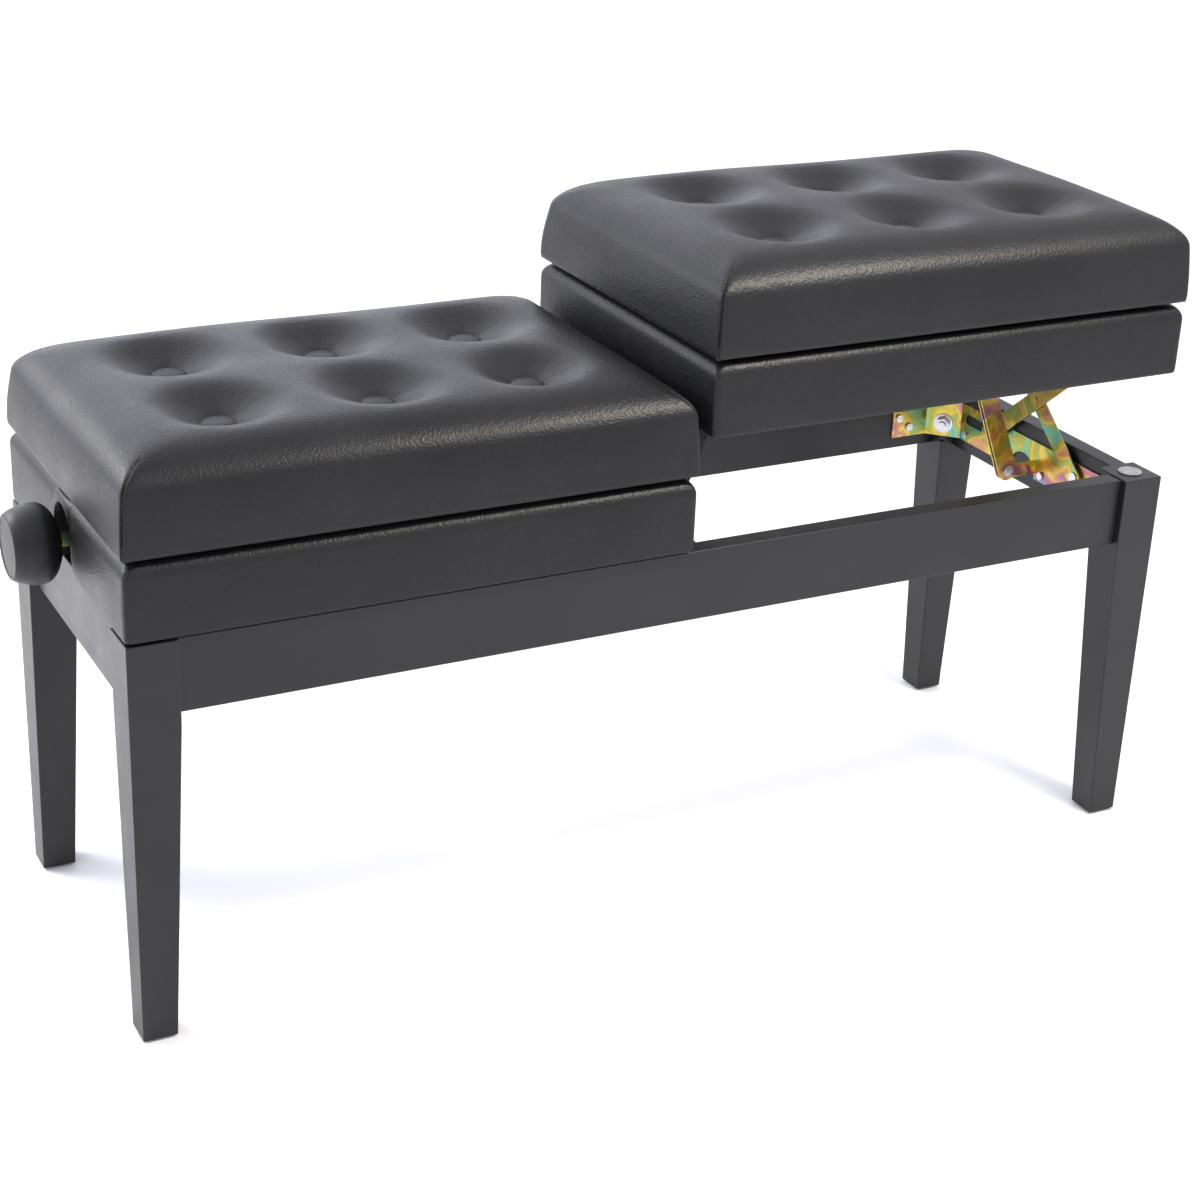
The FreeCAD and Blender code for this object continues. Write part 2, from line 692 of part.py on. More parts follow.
def knob(side_name, side):
    """A barrel-shaped knob: two arcs meet at the widest point; the front face is flat."""
    back, widest, front = (DIMENSIONS["knob_" + name] for name in ("back", "widest", "front"))
    back_r, wide_r, front_r = (DIMENSIONS["knob_" + name]
                               for name in ("back_radius", "radius", "front_radius"))
    body = new_body(side_name + "_knob_barrel")
    sketch = new_sketch(body, "XY_Plane")
    corners = [Vector(back, 0, 0), Vector(back, back_r, 0), Vector(widest, wide_r, 0),
               Vector(front, front_r, 0), Vector(front, 0, 0)]

    def arc(start, end):
        offset = end.x - start.x if start.x == widest else start.x - end.x
        low = end if start.x == widest else start
        rise = (wide_r ** 2 - low.y ** 2 - offset ** 2) / (2 * (wide_r - low.y))
        radius = wide_r - rise
        middle = Vector((start.x + end.x) / 2, 0, 0)
        middle.y = rise + math.sqrt(radius ** 2 - (middle.x - widest) ** 2)
        return Part.Arc(start, middle, end)

    sketch.addGeometry([Part.LineSegment(corners[0], corners[1]), arc(corners[1], corners[2]),
                        arc(corners[2], corners[3]), Part.LineSegment(corners[3], corners[4]),
                        Part.LineSegment(corners[4], corners[0])], False)
    pin_point(sketch, 0, 1, "knob_back", "0")
    pin_point(sketch, 0, 2, "knob_back", "knob_back_radius")
    pin_point(sketch, 3, 1, "knob_front", "knob_front_radius")
    pin_point(sketch, 3, 2, "knob_front", "0")
    sketch.addConstraint(Sketcher.Constraint("Coincident", 4, 1, 3, 2))
    sketch.addConstraint(Sketcher.Constraint("Coincident", 4, 2, 0, 1))
    sketch.addConstraint(Sketcher.Constraint("Coincident", 1, 2, 0, 2))
    sketch.addConstraint(Sketcher.Constraint("Coincident", 2, 1, 3, 1))
    sketch.addConstraint(Sketcher.Constraint("Coincident", 1, 1, 2, 2))
    pin_point(sketch, 1, 1, "knob_widest", "knob_radius")
    for index in (1, 2):
        number = sketch.addConstraint(Sketcher.Constraint("DistanceX", -1, 1, index, 3, float(widest)))
        sketch.setExpression("Constraints[%d]" % number, formula("knob_widest"))

    revolution = body.newObject("PartDesign::Revolution", "Barrel")
    revolution.Profile = sketch
    revolution.ReferenceAxis = (sketch, ["H_Axis"])
    revolution.Angle = 360
    soften(body, revolution, "knob_rim_round",
           lambda edge: edge.BoundBox.XLength < 1e-6 and edge.BoundBox.XMin > front - 1e-3)
    height = box_bottom(side_name) + " + rod_height"
    place(body, 0, 0, height, turn=Rotation(Vector(0, 0, 1), 0 if side > 0 else 180))
    x = span(side, "knob_back - past", "knob_bore_end")
    node(side_name + "_knob", cut(body, rod("X", "rod_radius", x[0], x[1], "0", height)))


def nut_reach(side_name):
    rise = "(%s + rod_height - link_pivot_height)" % box_bottom(side_name)
    return "(link_pivot_from_centre - sqrt(link_length^2 - %s^2))" % rise


def travel_nut(side_name, side, end_name, end):
    """A square nut on the screw with a side pin for the drive link."""
    height = box_bottom(side_name) + " + rod_height"
    x = reach_span(side, end, nut_reach(side_name) + " - travel_nut_half_length",
                   nut_reach(side_name) + " + travel_nut_half_length")
    middle = reach(side, end, nut_reach(side_name))
    body = block(x, ("-travel_nut_half_width", "travel_nut_half_width"),
                 (height + " - travel_nut_half_length", height + " + travel_nut_half_length"))
    front = "-link_plane - link_gap / 2 - link_plate"
    face = front + " - rivet_play"
    pin = rod("Y", "trunnion_radius", face + " - rivet_head_height", "-travel_nut_half_width + past",
              middle, height)
    head = rod("Y", "trunnion_head_radius", face + " - rivet_head_height", face, middle, height)
    bore = rod("X", "rod_radius + running_clearance", x[0], x[1], "0", height)
    node("%s_%s_nut" % (side_name, end_name), cut(fuse(body, pin, head), bore))


def drive_link(side_name, side, end_name, end):
    """Two parallel plates held apart by spacers; its head is slotted for the nut's pin."""
    label = "%s_%s_link" % (side_name, end_name)
    body = new_body(label + "_plates")
    sketch = new_sketch(body, "XZ_Plane")
    foot_r, head_r, length = (DIMENSIONS["link_" + name]
                              for name in ("foot_radius", "head_radius", "length"))
    up, right = Vector(0, 0, 1), 0.5 * math.pi
    sketch.addGeometry([Part.ArcOfCircle(Part.Circle(Vector(), up, foot_r), right, 3 * right),
                        Part.ArcOfCircle(Part.Circle(Vector(length, 0, 0), up, head_r), -right, right),
                        Part.LineSegment(Vector(0, -foot_r, 0), Vector(length, -head_r, 0)),
                        Part.LineSegment(Vector(length, head_r, 0), Vector(0, foot_r, 0))], False)
    for first, first_end, second, second_end in ((0, 2, 2, 1), (2, 2, 1, 1), (1, 2, 3, 1), (3, 2, 0, 1)):
        sketch.addConstraint(Sketcher.Constraint("Tangent", first, first_end, second, second_end))
    pin_point(sketch, 0, 3, "0", "0")
    pin_point(sketch, 1, 3, "link_length", "0")
    for index, name in ((0, "link_foot_radius"), (1, "link_head_radius")):
        number = sketch.addConstraint(Sketcher.Constraint("Radius", index, DIMENSIONS[name]))
        sketch.setExpression("Constraints[%d]" % number, formula(name))
    pad(body, sketch, "link_gap + 2 * link_plate", midplane=True)

    all_through = ("-2 * link_gap", "2 * link_gap")
    slot_start = "link_length - link_slot_length"
    tools = [block(("-2 * link_foot_radius", "link_length + 2 * link_head_radius"),
                   ("-link_gap / 2", "link_gap / 2"), ("-2 * link_foot_radius", "2 * link_foot_radius")),
             rod("Y", "link_pin_radius + running_clearance", *all_through, "0", "0"),
             rod("Y", "link_slot_half_width", *all_through, slot_start, "0"),
             rod("Y", "link_slot_half_width", *all_through, "link_length", "0"),
             block((slot_start, "link_length"), all_through,
                   ("-link_slot_half_width", "link_slot_half_width"))]
    spacers = [rod("Y", "link_pin_radius", "-(link_gap + past) / 2", "(link_gap + past) / 2",
                   "link_length * " + share, "0") for share in ("0.3", "0.6")]
    link = fuse(cut(body, *tools), *spacers)
    place(link, reach(side, end, "link_pivot_from_centre"), "-link_plane", "link_pivot_height",
          turn=Rotation(Vector(0, -1, 0), 45))
    rise = "(%s + rod_height - link_pivot_height)" % box_bottom(side_name)
    lean = "asin(%s / link_length)" % rise
    link.setExpression("Placement.Rotation.Angle", formula("180 deg - " + lean if side * end > 0 else lean))
    return node(label, link)


# ---- scissors --------------------------------------------------------------------------------

def scissor(side_name, side, end_name, end):
    """Two crossing arms. Arm A turns on the base plate's front pin, arm B hangs on arm A's rivet."""
    turn = side * end

    def across(radius, near, far, along):
        x = span(turn, near, far)
        return rod("X", radius, x[0], x[1], along, "0")

    def bar(near):
        x = span(turn, near, near + " + arm_thickness")
        return [block(x, ("0", "arm_length"), ("-arm_half_width", "arm_half_width")),
                across("arm_half_width", near, near + " + arm_thickness", "0"),
                across("arm_half_width", near, near + " + arm_thickness", "arm_length")]

    def bored_bar(near, along):
        hole = across("arm_pin_radius + running_clearance", near + " - past",
                      near + " + arm_thickness + past", along)
        return cut(fuse(*bar(near)), hole)

    guide = "upper_plate_near - guide_reach"
    face = "(arm_b_near - rivet_play)"
    arm_a = fuse(bored_bar("arm_a_near", "0"),
                 across("arm_pin_radius", face + " - arm_head_height", "arm_a_near + past",
                        "arm_length / 2"),
                 across("rivet_head_radius", face + " - arm_head_height", face, "arm_length / 2"),
                 across("arm_pin_radius + spacer_shoulder", "arm_b_near + arm_thickness + rivet_play",
                        "arm_a_near", "arm_length / 2"),
                 across("arm_slide_radius", guide, "arm_a_near + past", "arm_length"))
    arm_b = fuse(bored_bar("arm_b_near", "arm_length / 2"),
                 across("arm_slide_radius", guide, "arm_b_near + past", "0"),
                 across("arm_slide_radius", "arm_b_near + past", PLATE_FAR + " - rivet_play", "arm_length"))
    rise = "(arm_pin_rise + raise_%s)" % side_name
    for arm, letter, axis, height in ((arm_a, "a", 1, "arm_pivot_height"),
                                      (arm_b, "b", -1, "arm_pivot_height + " + rise)):
        place(arm, "%d * drive_centre" % side, "-arm_pivot_front", height,
              turn=Rotation(Vector(axis, 0, 0), 45))
        arm.setExpression("Placement.Rotation.Angle", formula("asin(%s / arm_length)" % rise))
        node("%s_%s_arm_%s" % (side_name, end_name, letter), arm)


# ---- the whole bench -------------------------------------------------------------------------

shank_list, head_list = screw_shanks()
shanks = group(*shank_list)
frame(shanks)
node("base_plate_screws", group(*[fuse(shank, head) for shank, head in zip(shank_list, head_list)]))
pivot_pins = []
for side_name, side in SIDES.items():
    for end_name, end in ENDS.items():
        base_plate("%s_%s_base_plate" % (side_name, end_name), side, end, shanks)
        pivot_pins += base_pivot_pin(side, end)
node("base_pivot_pins", group(*pivot_pins))

for side_name, side in SIDES.items():
    seat_box(side_name, side)
    seat_lid(side_name, side)
    lid_hinges(side_name, side)
    adjusting_screw(side_name, side)
    knob(side_name, side)
    for end_name, end in ENDS.items():
        upper_plate(side_name, side, end_name, end)
        travel_nut(side_name, side, end_name, end)
        drive_link(side_name, side, end_name, end)
        scissor(side_name, side, end_name, end)

doc.recompute()
failed = [item.Label for item in doc.Objects if "Invalid" in item.State or "Error" in item.State]
for item in nodes:
    if item.Shape.isNull() or not item.Shape.isValid() or not item.Shape.Solids:
        failed.append(item.Label)
if failed:
    raise RuntimeError("not built: " + ", ".join(failed))

os.makedirs("parts", exist_ok=True)
for item in nodes:
    item.Shape.exportStep("parts/%s.step" % item.Label)
print("wrote %d nodes" % len(nodes))
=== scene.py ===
import json
import math
import random

import bmesh
import bpy
import numpy as np
from mathutils import Matrix, Vector


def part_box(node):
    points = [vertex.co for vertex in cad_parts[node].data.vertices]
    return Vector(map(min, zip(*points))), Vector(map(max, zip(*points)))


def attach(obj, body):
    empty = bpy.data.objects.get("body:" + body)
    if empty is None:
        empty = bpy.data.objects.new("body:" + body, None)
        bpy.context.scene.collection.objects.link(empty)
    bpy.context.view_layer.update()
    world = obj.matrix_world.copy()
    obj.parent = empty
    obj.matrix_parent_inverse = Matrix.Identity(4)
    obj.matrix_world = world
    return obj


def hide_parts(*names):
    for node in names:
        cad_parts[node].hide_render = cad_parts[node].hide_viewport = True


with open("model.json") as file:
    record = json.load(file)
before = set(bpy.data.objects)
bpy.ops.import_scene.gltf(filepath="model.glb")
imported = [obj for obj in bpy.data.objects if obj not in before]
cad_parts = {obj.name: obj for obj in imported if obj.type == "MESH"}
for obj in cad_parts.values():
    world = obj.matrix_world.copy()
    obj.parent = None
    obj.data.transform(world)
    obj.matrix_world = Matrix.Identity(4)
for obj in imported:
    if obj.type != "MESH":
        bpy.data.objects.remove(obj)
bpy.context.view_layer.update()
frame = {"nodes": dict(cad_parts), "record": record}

SIDES = {"left": -1, "right": 1}
SEAT_SEEDS = {"left": 11, "right": 29}
BOX_SEEDS = {"left": 5, "right": 7}


# ---- materials -------------------------------------------------------------------------------

class Shader:
    """A node material with a Principled surface, fed from object coordinates in metres."""

    def __init__(self, name, **surface):
        self.material = bpy.data.materials.new(name)
        self.material.use_nodes = True
        self.tree = self.material.node_tree
        self.surface = self.tree.nodes["Principled BSDF"]
        self.place = self.add("ShaderNodeTexCoord").outputs["Object"]
        self.last_bump = None
        for socket, value in surface.items():
            self.set(socket.replace("_", " "), value)

    def add(self, kind, sockets=(), **settings):
        node = self.tree.nodes.new(kind)
        for name, value in settings.items():
            setattr(node, name, value)
        for name, value in dict(sockets).items():
            self.put(node.inputs[name], value)
        return node

    def put(self, socket, value):
        if isinstance(value, bpy.types.NodeSocket):
            self.tree.links.new(value, socket)
        else:
            socket.default_value = value

    def set(self, socket, value):
        self.put(self.surface.inputs[socket], value)

    def stretched(self, scale):
        return self.add("ShaderNodeMapping", {"Vector": self.place, "Scale": scale}).outputs["Vector"]

    def noise(self, scale, detail=2.0, vector=None, distortion=0.0, output="Fac"):
        node = self.add("ShaderNodeTexNoise", {"Vector": vector or self.place, "Scale": scale,
                                               "Detail": detail, "Distortion": distortion})
        return node.outputs[output]

    def cells(self, scale, vector):
        node = self.add("ShaderNodeTexVoronoi", {"Vector": vector, "Scale": scale}, feature="SMOOTH_F1")
        return node.outputs["Distance"]

    def math(self, operation, first, second):
        return self.add("ShaderNodeMath", {0: first, 1: second}, operation=operation).outputs[0]

    def spread(self, value, low, high, from_low=0.3, from_high=0.7):
        """The value's range, as a rule the middle of a noise, spread from low to high."""
        node = self.add("ShaderNodeMapRange", {"Value": value, "From Min": from_low, "From Max": from_high,
                                               "To Min": low, "To Max": high})
        return node.outputs["Result"]

    def ramp(self, value, *stops):
        node = self.add("ShaderNodeValToRGB", {"Fac": value})
        elements = node.color_ramp.elements
        while len(elements) < len(stops):
            elements.new(0.5)
        for element, (position, colour) in zip(elements, stops):
            element.position = position
            element.color = (*colour, 1.0)
        return node.outputs["Color"]

    def soft_edges(self, radius):
        """Sharp edges catch the light as if rounded; the bumps that follow add to this."""
        self.last_bump = self.add("ShaderNodeBevel", {"Radius": radius}, samples=4).outputs["Normal"]

    def bump(self, height, distance, strength):
        sockets = {"Height": height, "Distance": distance, "Strength": strength}
        if self.last_bump:
            sockets["Normal"] = self.last_bump
        self.last_bump = self.add("ShaderNodeBump", sockets).outputs["Normal"]
        self.set("Normal", self.last_bump)


def warped(shader, scale, amount):
    """Object coordinates pushed about by noise, so that cells aren't evenly shaped."""
    drift = shader.add("ShaderNodeVectorMath", {0: shader.noise(scale, 1.0, output="Color"),
                                                1: (0.5, 0.5, 0.5)}, operation="SUBTRACT").outputs[0]
    drift = shader.add("ShaderNodeVectorMath", {0: drift, "Scale": amount}, operation="SCALE").outputs[0]
    return shader.add("ShaderNodeVectorMath", {0: shader.place, 1: drift}, operation="ADD").outputs[0]


def leather():
    """Fine pebbled black leather: cells of 2 to 3 mm, broken up by a smaller grain."""
    s = Shader("pebbled_leather", Specular_IOR_Level=0.31)
    pebbles = s.cells(480.0, warped(s, 340.0, 0.0020))
    grain = s.noise(620.0, 3.0)
    tint = s.ramp(s.noise(9.0, 4.0), (0.3, (0.0062, 0.0063, 0.0068)), (0.7, (0.0100, 0.0101, 0.0108)))
    s.set("Base Color", tint)
    handled = s.spread(s.noise(16.0, 3.0), 0.34, 0.41)
    s.set("Roughness", s.math("ADD", handled, s.spread(pebbles, 0.0, 0.08, 0.1, 0.7)))
    s.bump(s.noise(48.0, 2.0), 0.0010, 0.10)
    s.bump(pebbles, 0.0006, 0.48)
    s.bump(grain, 0.0003, 0.45)
    return s.material


def thread():
    s = Shader("seam_thread")
    twist = s.add("ShaderNodeTexWave", {"Vector": s.place, "Scale": 900.0, "Distortion": 1.0},
                  bands_direction="DIAGONAL").outputs["Fac"]
    s.set("Base Color", s.ramp(twist, (0.2, (0.005, 0.004, 0.004)), (0.8, (0.022, 0.018, 0.018))))
    s.set("Roughness", s.spread(twist, 0.5, 0.7))
    s.bump(twist, 0.0002, 0.6)
    return s.material


def lacquer(grain, name):
    """Satin black lacquer; the wood's pores show faintly along the grain."""
    s = Shader(name, Coat_Weight=0.12, Coat_Roughness=0.22, Specular_IOR_Level=0.36)
    along = s.stretched(tuple(9.0 if axis == grain else 420.0 for axis in range(3)))
    pores = s.noise(1.0, 4.0, along)
    peel = s.noise(210.0, 2.0)
    tint = s.ramp(s.noise(7.0, 3.0), (0.3, (0.0070, 0.0070, 0.0080)), (0.7, (0.0105, 0.0105, 0.0118)))
    s.set("Base Color", tint)
    s.set("Roughness", s.math("ADD", s.spread(s.noise(24.0, 4.0), 0.36, 0.43), s.spread(pores, 0.0, 0.05)))
    s.bump(pores, 0.0004, 0.10)
    s.bump(peel, 0.0006, 0.12)
    return s.material


def yellow_zinc():
    """Chromated zinc plate: gold with clouds of olive, pink, violet and turquoise."""
    s = Shader("yellow_zinc", Metallic=1.0)
    hue = s.noise(24.0, 3.0, warped(s, 17.0, 0.05), distortion=0.8)
    colour = s.ramp(hue, (0.34, (0.12, 0.42, 0.40)), (0.40, (0.28, 0.42, 0.14)), (0.46, (0.36, 0.33, 0.06)),
                    (0.53, (0.64, 0.50, 0.10)), (0.59, (0.50, 0.24, 0.13)), (0.65, (0.36, 0.15, 0.25)),
                    (0.72, (0.12, 0.34, 0.38)))
    s.set("Base Color", colour)
    satin = s.spread(s.noise(60.0, 4.0), 0.22, 0.34)
    s.set("Roughness", s.math("ADD", satin, s.spread(s.noise(900.0, 2.0), 0.0, 0.08)))
    s.soft_edges(0.0005)
    s.bump(s.noise(700.0, 3.0), 0.0002, 0.25)
    return s.material


def bright_steel():
    s = Shader("bright_steel", Metallic=1.0)
    brushed = s.noise(1.0, 3.0, s.stretched((60.0, 900.0, 900.0)))
    s.set("Base Color", s.ramp(s.noise(40.0, 3.0), (0.3, (0.56, 0.57, 0.60)), (0.7, (0.72, 0.72, 0.73))))
    s.set("Roughness", s.spread(brushed, 0.22, 0.4))
    s.soft_edges(0.0004)
    s.bump(brushed, 0.0001, 0.3)
    return s.material


def shade_dark_steel():
    """Steel painted dark as painted shade, standing in for the shadow the inner links lie in, with lighter
    patches at random.
    """
    s = Shader("shade_dark_steel", Metallic=1.0)
    wear = s.noise(55.0, 5.0)
    s.set("Base Color", s.ramp(wear, (0.35, (0.030, 0.028, 0.026)), (0.75, (0.090, 0.085, 0.080))))
    s.set("Roughness", s.spread(wear, 0.50, 0.34))
    s.soft_edges(0.0004)
    s.bump(s.noise(800.0, 3.0), 0.0001, 0.3)
    return s.material


def satin_plastic():
    s = Shader("knob_plastic", Specular_IOR_Level=0.4)
    tint = s.ramp(s.noise(30.0, 3.0), (0.3, (0.0065, 0.0065, 0.0070)), (0.7, (0.0095, 0.0095, 0.0100)))
    s.set("Base Color", tint)
    fine = s.noise(1500.0, 2.0)
    s.set("Roughness", s.spread(fine, 0.40, 0.48))
    s.bump(fine, 0.0002, 0.35)
    return s.material


def glide_plastic():
    s = Shader("glide_plastic")
    fine = s.noise(700.0, 3.0)
    s.set("Base Color", s.ramp(fine, (0.3, (0.03, 0.03, 0.03)), (0.7, (0.06, 0.06, 0.06))))
    s.set("Roughness", s.spread(fine, 0.55, 0.7))
    s.bump(fine, 0.0003, 0.4)
    return s.material


def felt():
    s = Shader("grey_felt", Sheen_Weight=0.5, Sheen_Roughness=0.5)
    fibres = s.noise(900.0, 6.0, distortion=2.5)
    s.set("Base Color", s.ramp(s.noise(350.0, 4.0), (0.3, (0.20, 0.21, 0.23)), (0.7, (0.34, 0.35, 0.38))))
    s.set("Roughness", s.spread(fibres, 0.85, 1.0))
    s.bump(fibres, 0.0010, 0.9)
    return s.material


def plywood():
    """Sanded box wood: long pale grain with darker rings."""
    s = Shader("box_wood")
    rings = s.noise(3.0, 5.0, s.stretched((6.0, 60.0, 60.0)), distortion=0.6)
    pores = s.noise(1.0, 3.0, s.stretched((30.0, 900.0, 900.0)))
    tint = s.ramp(rings, (0.3, (0.30, 0.19, 0.09)), (0.52, (0.46, 0.31, 0.17)), (0.7, (0.54, 0.39, 0.23)))
    s.set("Base Color", tint)
    s.set("Roughness", s.spread(pores, 0.5, 0.7))
    s.bump(pores, 0.0004, 0.4)
    return s.material


def lining():
    """Black woven lining on the floor boards and under the lids."""
    s = Shader("black_lining", Sheen_Weight=0.15)
    weft = s.add("ShaderNodeTexWave", {"Vector": s.place, "Scale": 180.0, "Distortion": 0.4},
                 bands_direction="X").outputs["Fac"]
    warp = s.add("ShaderNodeTexWave", {"Vector": s.place, "Scale": 180.0, "Distortion": 0.4},
                 bands_direction="Y").outputs["Fac"]
    weave = s.math("MAXIMUM", weft, warp)
    s.set("Base Color", s.ramp(weave, (0.3, (0.012, 0.012, 0.013)), (0.9, (0.032, 0.032, 0.034))))
    s.set("Roughness", s.spread(weave, 0.75, 0.9))
    s.bump(weave, 0.0003, 0.6)
    return s.material


def floor_paint():
    s = Shader("studio_floor")
    s.set("Base Color", s.ramp(s.noise(0.7, 2.0), (0.3, (0.94, 0.94, 0.94)), (0.7, (0.96, 0.96, 0.96))))
    s.set("Roughness", 0.85)
    s.set("Specular IOR Level", 0.1)
    return s.material


LEATHER, THREAD = leather(), thread()
LACQUER = [lacquer(axis, "black_lacquer_" + "xyz"[axis]) for axis in range(3)]
FELT, PLASTIC = felt(), satin_plastic()
# the inner links show between the seats; their slot's yellow zinc is swapped for dark steel as painted shade,
# where the seats' shadow falls on them
BY_NODE = dict.fromkeys(("left_inner_link", "right_inner_link"), shade_dark_steel())
BY_SLOT = {
    "glide_plastic": glide_plastic(), "felt": FELT, "bright_steel": bright_steel(),
    "zinc_steel": yellow_zinc(), "leather": LEATHER, "box_wood": plywood(),
    "lining_board": lining(), "black_plastic": PLASTIC,
}


def grain_axis(node):
    """The longest way of a wooden part is the way of its grain."""
    low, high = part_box(node)
    size = [h - l for l, h in zip(low, high)]
    return size.index(max(size))


for part in frame["record"]["subparts"]:
    name, slot = part["node"], part["material_slot"]
    look = LACQUER[grain_axis(name)] if slot == "black_lacquered_wood" else BY_NODE.get(name, BY_SLOT[slot])
    mesh = frame["nodes"][name].data
    mesh.materials.clear()
    mesh.materials.append(look)


# ---- making pieces ---------------------------------------------------------------------------

def mesh_object(name, points, faces, material, smooth=True):
    mesh = bpy.data.meshes.new(name)
    mesh.from_pydata([tuple(p) for p in points], [], faces)
    mesh.validate()
    mesh.materials.append(material)
    if smooth:
        mesh.shade_smooth()
    piece = bpy.data.objects.new(name, mesh)
    bpy.context.scene.collection.objects.link(piece)
    return piece


def keep_evaluated(piece):
    """Put what the modifiers make into the piece's own mesh, and take the modifiers off."""
    graph = bpy.context.evaluated_depsgraph_get()
    graph.update()
    made = bpy.data.meshes.new_from_object(piece.evaluated_get(graph))
    piece.modifiers.clear()
    piece.data = made


def edit(piece, change):
    work = bmesh.new()
    work.from_mesh(piece.data)
    change(work)
    work.to_mesh(piece.data)
    work.free()


def close_cap(work):
    """One face across the piece's last opening."""
    bmesh.ops.holes_fill(work, edges=[edge for edge in work.edges if edge.is_boundary], sides=0)


def subdivide(piece, capped=False):
    """Smooth the piece by one level. A cap is put on afterwards: one large face subdivides too slowly."""
    piece.modifiers.new("Smooth", "SUBSURF").levels = 1
    keep_evaluated(piece)
    if capped:
        edit(piece, close_cap)
    piece.data.shade_smooth()


def outward(piece):
    """Face windings turned so that a closed piece's normals point out."""
    edit(piece, lambda work: bmesh.ops.recalc_face_normals(work, faces=work.faces))


def corner_samples(half, step, fine):
    """Places from -half to half, a step apart, with the fine offsets added at both ends."""
    inner = half - fine[-1]
    count = max(2, round(2 * inner / step))
    middle = [-inner + 2 * inner * i / count for i in range(count + 1)]
    left = [-half + f for f in fine[:-1]]
    return left + middle + [-p for p in reversed(left)]


def ring(xs, ys, half_x, half_y, inset, rounds):
    """A closed ring of plan points on a rectangle, counter-clockwise from the front left corner.

    xs and ys are the outer ring's places; they shrink with the inset. rounds holds the corner
    radius at the front and at the back."""
    grow_x, grow_y = (half_x - inset) / half_x, (half_y - inset) / half_y
    a, b = half_x - inset, half_y - inset
    points = [(x * grow_x, -b) for x in xs[:-1]] + [(a, y * grow_y) for y in ys[:-1]]
    points += [(x * grow_x, b) for x in reversed(xs[1:])] + [(-a, y * grow_y) for y in reversed(ys[1:])]
    return [rounded(x, y, a, b, rounds) for x, y in points]


def rounded(x, y, a, b, rounds):
    """A point on the rectangle from (-a, -b) to (a, b), brought in to its rounded corners."""
    radius = rounds[0 if y < 0 else 1]
    cx = min(max(x, radius - a), a - radius)
    cy = min(max(y, radius - b), b - radius)
    dx, dy = x - cx, y - cy
    length = math.hypot(dx, dy)
    if dx and dy:
        x, y = cx + dx / length * radius, cy + dy / length * radius
    return x, y


def stitch_faces(count, rows):
    """Quads between rows of a closed ring."""
    faces = []
    for row in range(rows - 1):
        below, above = row * count, (row + 1) * count
        for i in range(count):
            after = (i + 1) % count
            faces.append((below + i, below + after, above + after, above + i))
    return faces


def quarter_turn(t, steps):
    """How far in and how far up a rounding has come after t of its steps, from 0 to 1."""
    angle = 0.5 * math.pi * t / steps
    return 1 - math.cos(angle), math.sin(angle)


def counted_from(first, faces):
    """The faces of a piece whose own points start at number first."""
    return [tuple(first + n for n in face) for face in faces]


# ---- tufted seats ----------------------------------------------------------------------------

CUSHION_SIDE = 0.051          # height of the upright side above the lid's lower face
CUSHION_ROLL = 0.050          # how far in from the side the rounding ends
SIDE_TAPER = 0.0028           # how far in the side leans at its top
SIDE_START = 0.0018           # where the upright side begins, above the lid's lower face
SIDE_ROWS, ROLL_ROWS = 12, 11
# how far in, and how high above the lid's lower face, the leather runs under the lid
UNDERSIDE = [(0.030, 0.003), (0.030, -0.0004), (0.0275, -0.0009), (0.015, -0.0010),
             (0.004, -0.0008), (0.0012, 0.0002), (0.0002, 0.0018)]
TOP_BELOW_BOX = 0.0025        # room for the filling under the CAD cushion's top
CORNER_STEPS = [0.0, 0.0012, 0.0028, 0.0052, 0.0086]     # closer points near the corners
MESH_STEP = 0.0044
CROWN, RISE = 0.0030, 0.0012  # how much higher the middle is, and the whole top
FRONT_DROOP, REAR_DROOP = 0.0015, 0.004        # how much lower the top's corners are
SHAPE_START = 0.020           # crown, droop and bowls begin this high above the lid's lower face
SWAY, SWAY_WAYS, SWAY_ROWS = 0.0006, (19, 23), 8         # slow unevenness of the leather

BUTTON_PITCH, BUTTON_ROW = 0.135, 0.064
BUTTON_RADIUS = 0.0150
PULL_FROM, PIN_WITHIN, PLEAT_FROM = 0.85, 0.80, 0.70     # as shares of a button's radius
BUTTON_SEAT_DROP = 0.0185     # from the crown down to the leather under a button
BOWL_RADIUS = 0.052           # how far a button pulls the leather down
BOWL_SHARE, BOWL_POWER = 0.76, 1.15
TUCK_SHARE, TUCK_REACH = 0.24, 0.0050          # the sharper pull right beside a button
BUTTON_HEIGHT = 0.0012        # a button's middle above the leather under it

PINNED_SIDE = 0.012           # the filling can't move the leather below this height
TOP_FROM = 0.045              # points above this height belong to the top
SIDE_CAP, TOP_CAP = 0.0020, 0.0045             # how far the filling may push the side and the top
FILL_FRAMES, EVEN_ROUNDS = 20, 8

PLEATS, PLEAT_DEPTH, PLEAT_WIDTH = 7, 0.0005, 0.0030
PLEAT_END = 0.060             # no pleat is seen this far from a button's middle

FRONT_CORNER, REAR_CORNER = 0.0035, 0.0048     # corner radii in plan at the lid's lower edge
FRONT_GROWTH, REAR_GROWTH = 0.30, 0.40         # how fast the radii grow on the way in over the rounding
REAR_SOFTNESS = 0.009         # how much rounder a rear corner is at the top
LIFT_START = 0.014            # a rear corner gets rounder above this height
SEAM_REACH = 0.030            # how far in from the side a corner seam runs onto the top
SEAM_DEPTH = 0.0046
SEAM_FADE_ROWS = 4
SEAM_BESIDE = 0.12            # how much of the pull the next points take
THREAD_RISE, THREAD_RISE_IN_SEAM = 0.0003, 0.0017        # how far outside the seam's bottom the thread lies

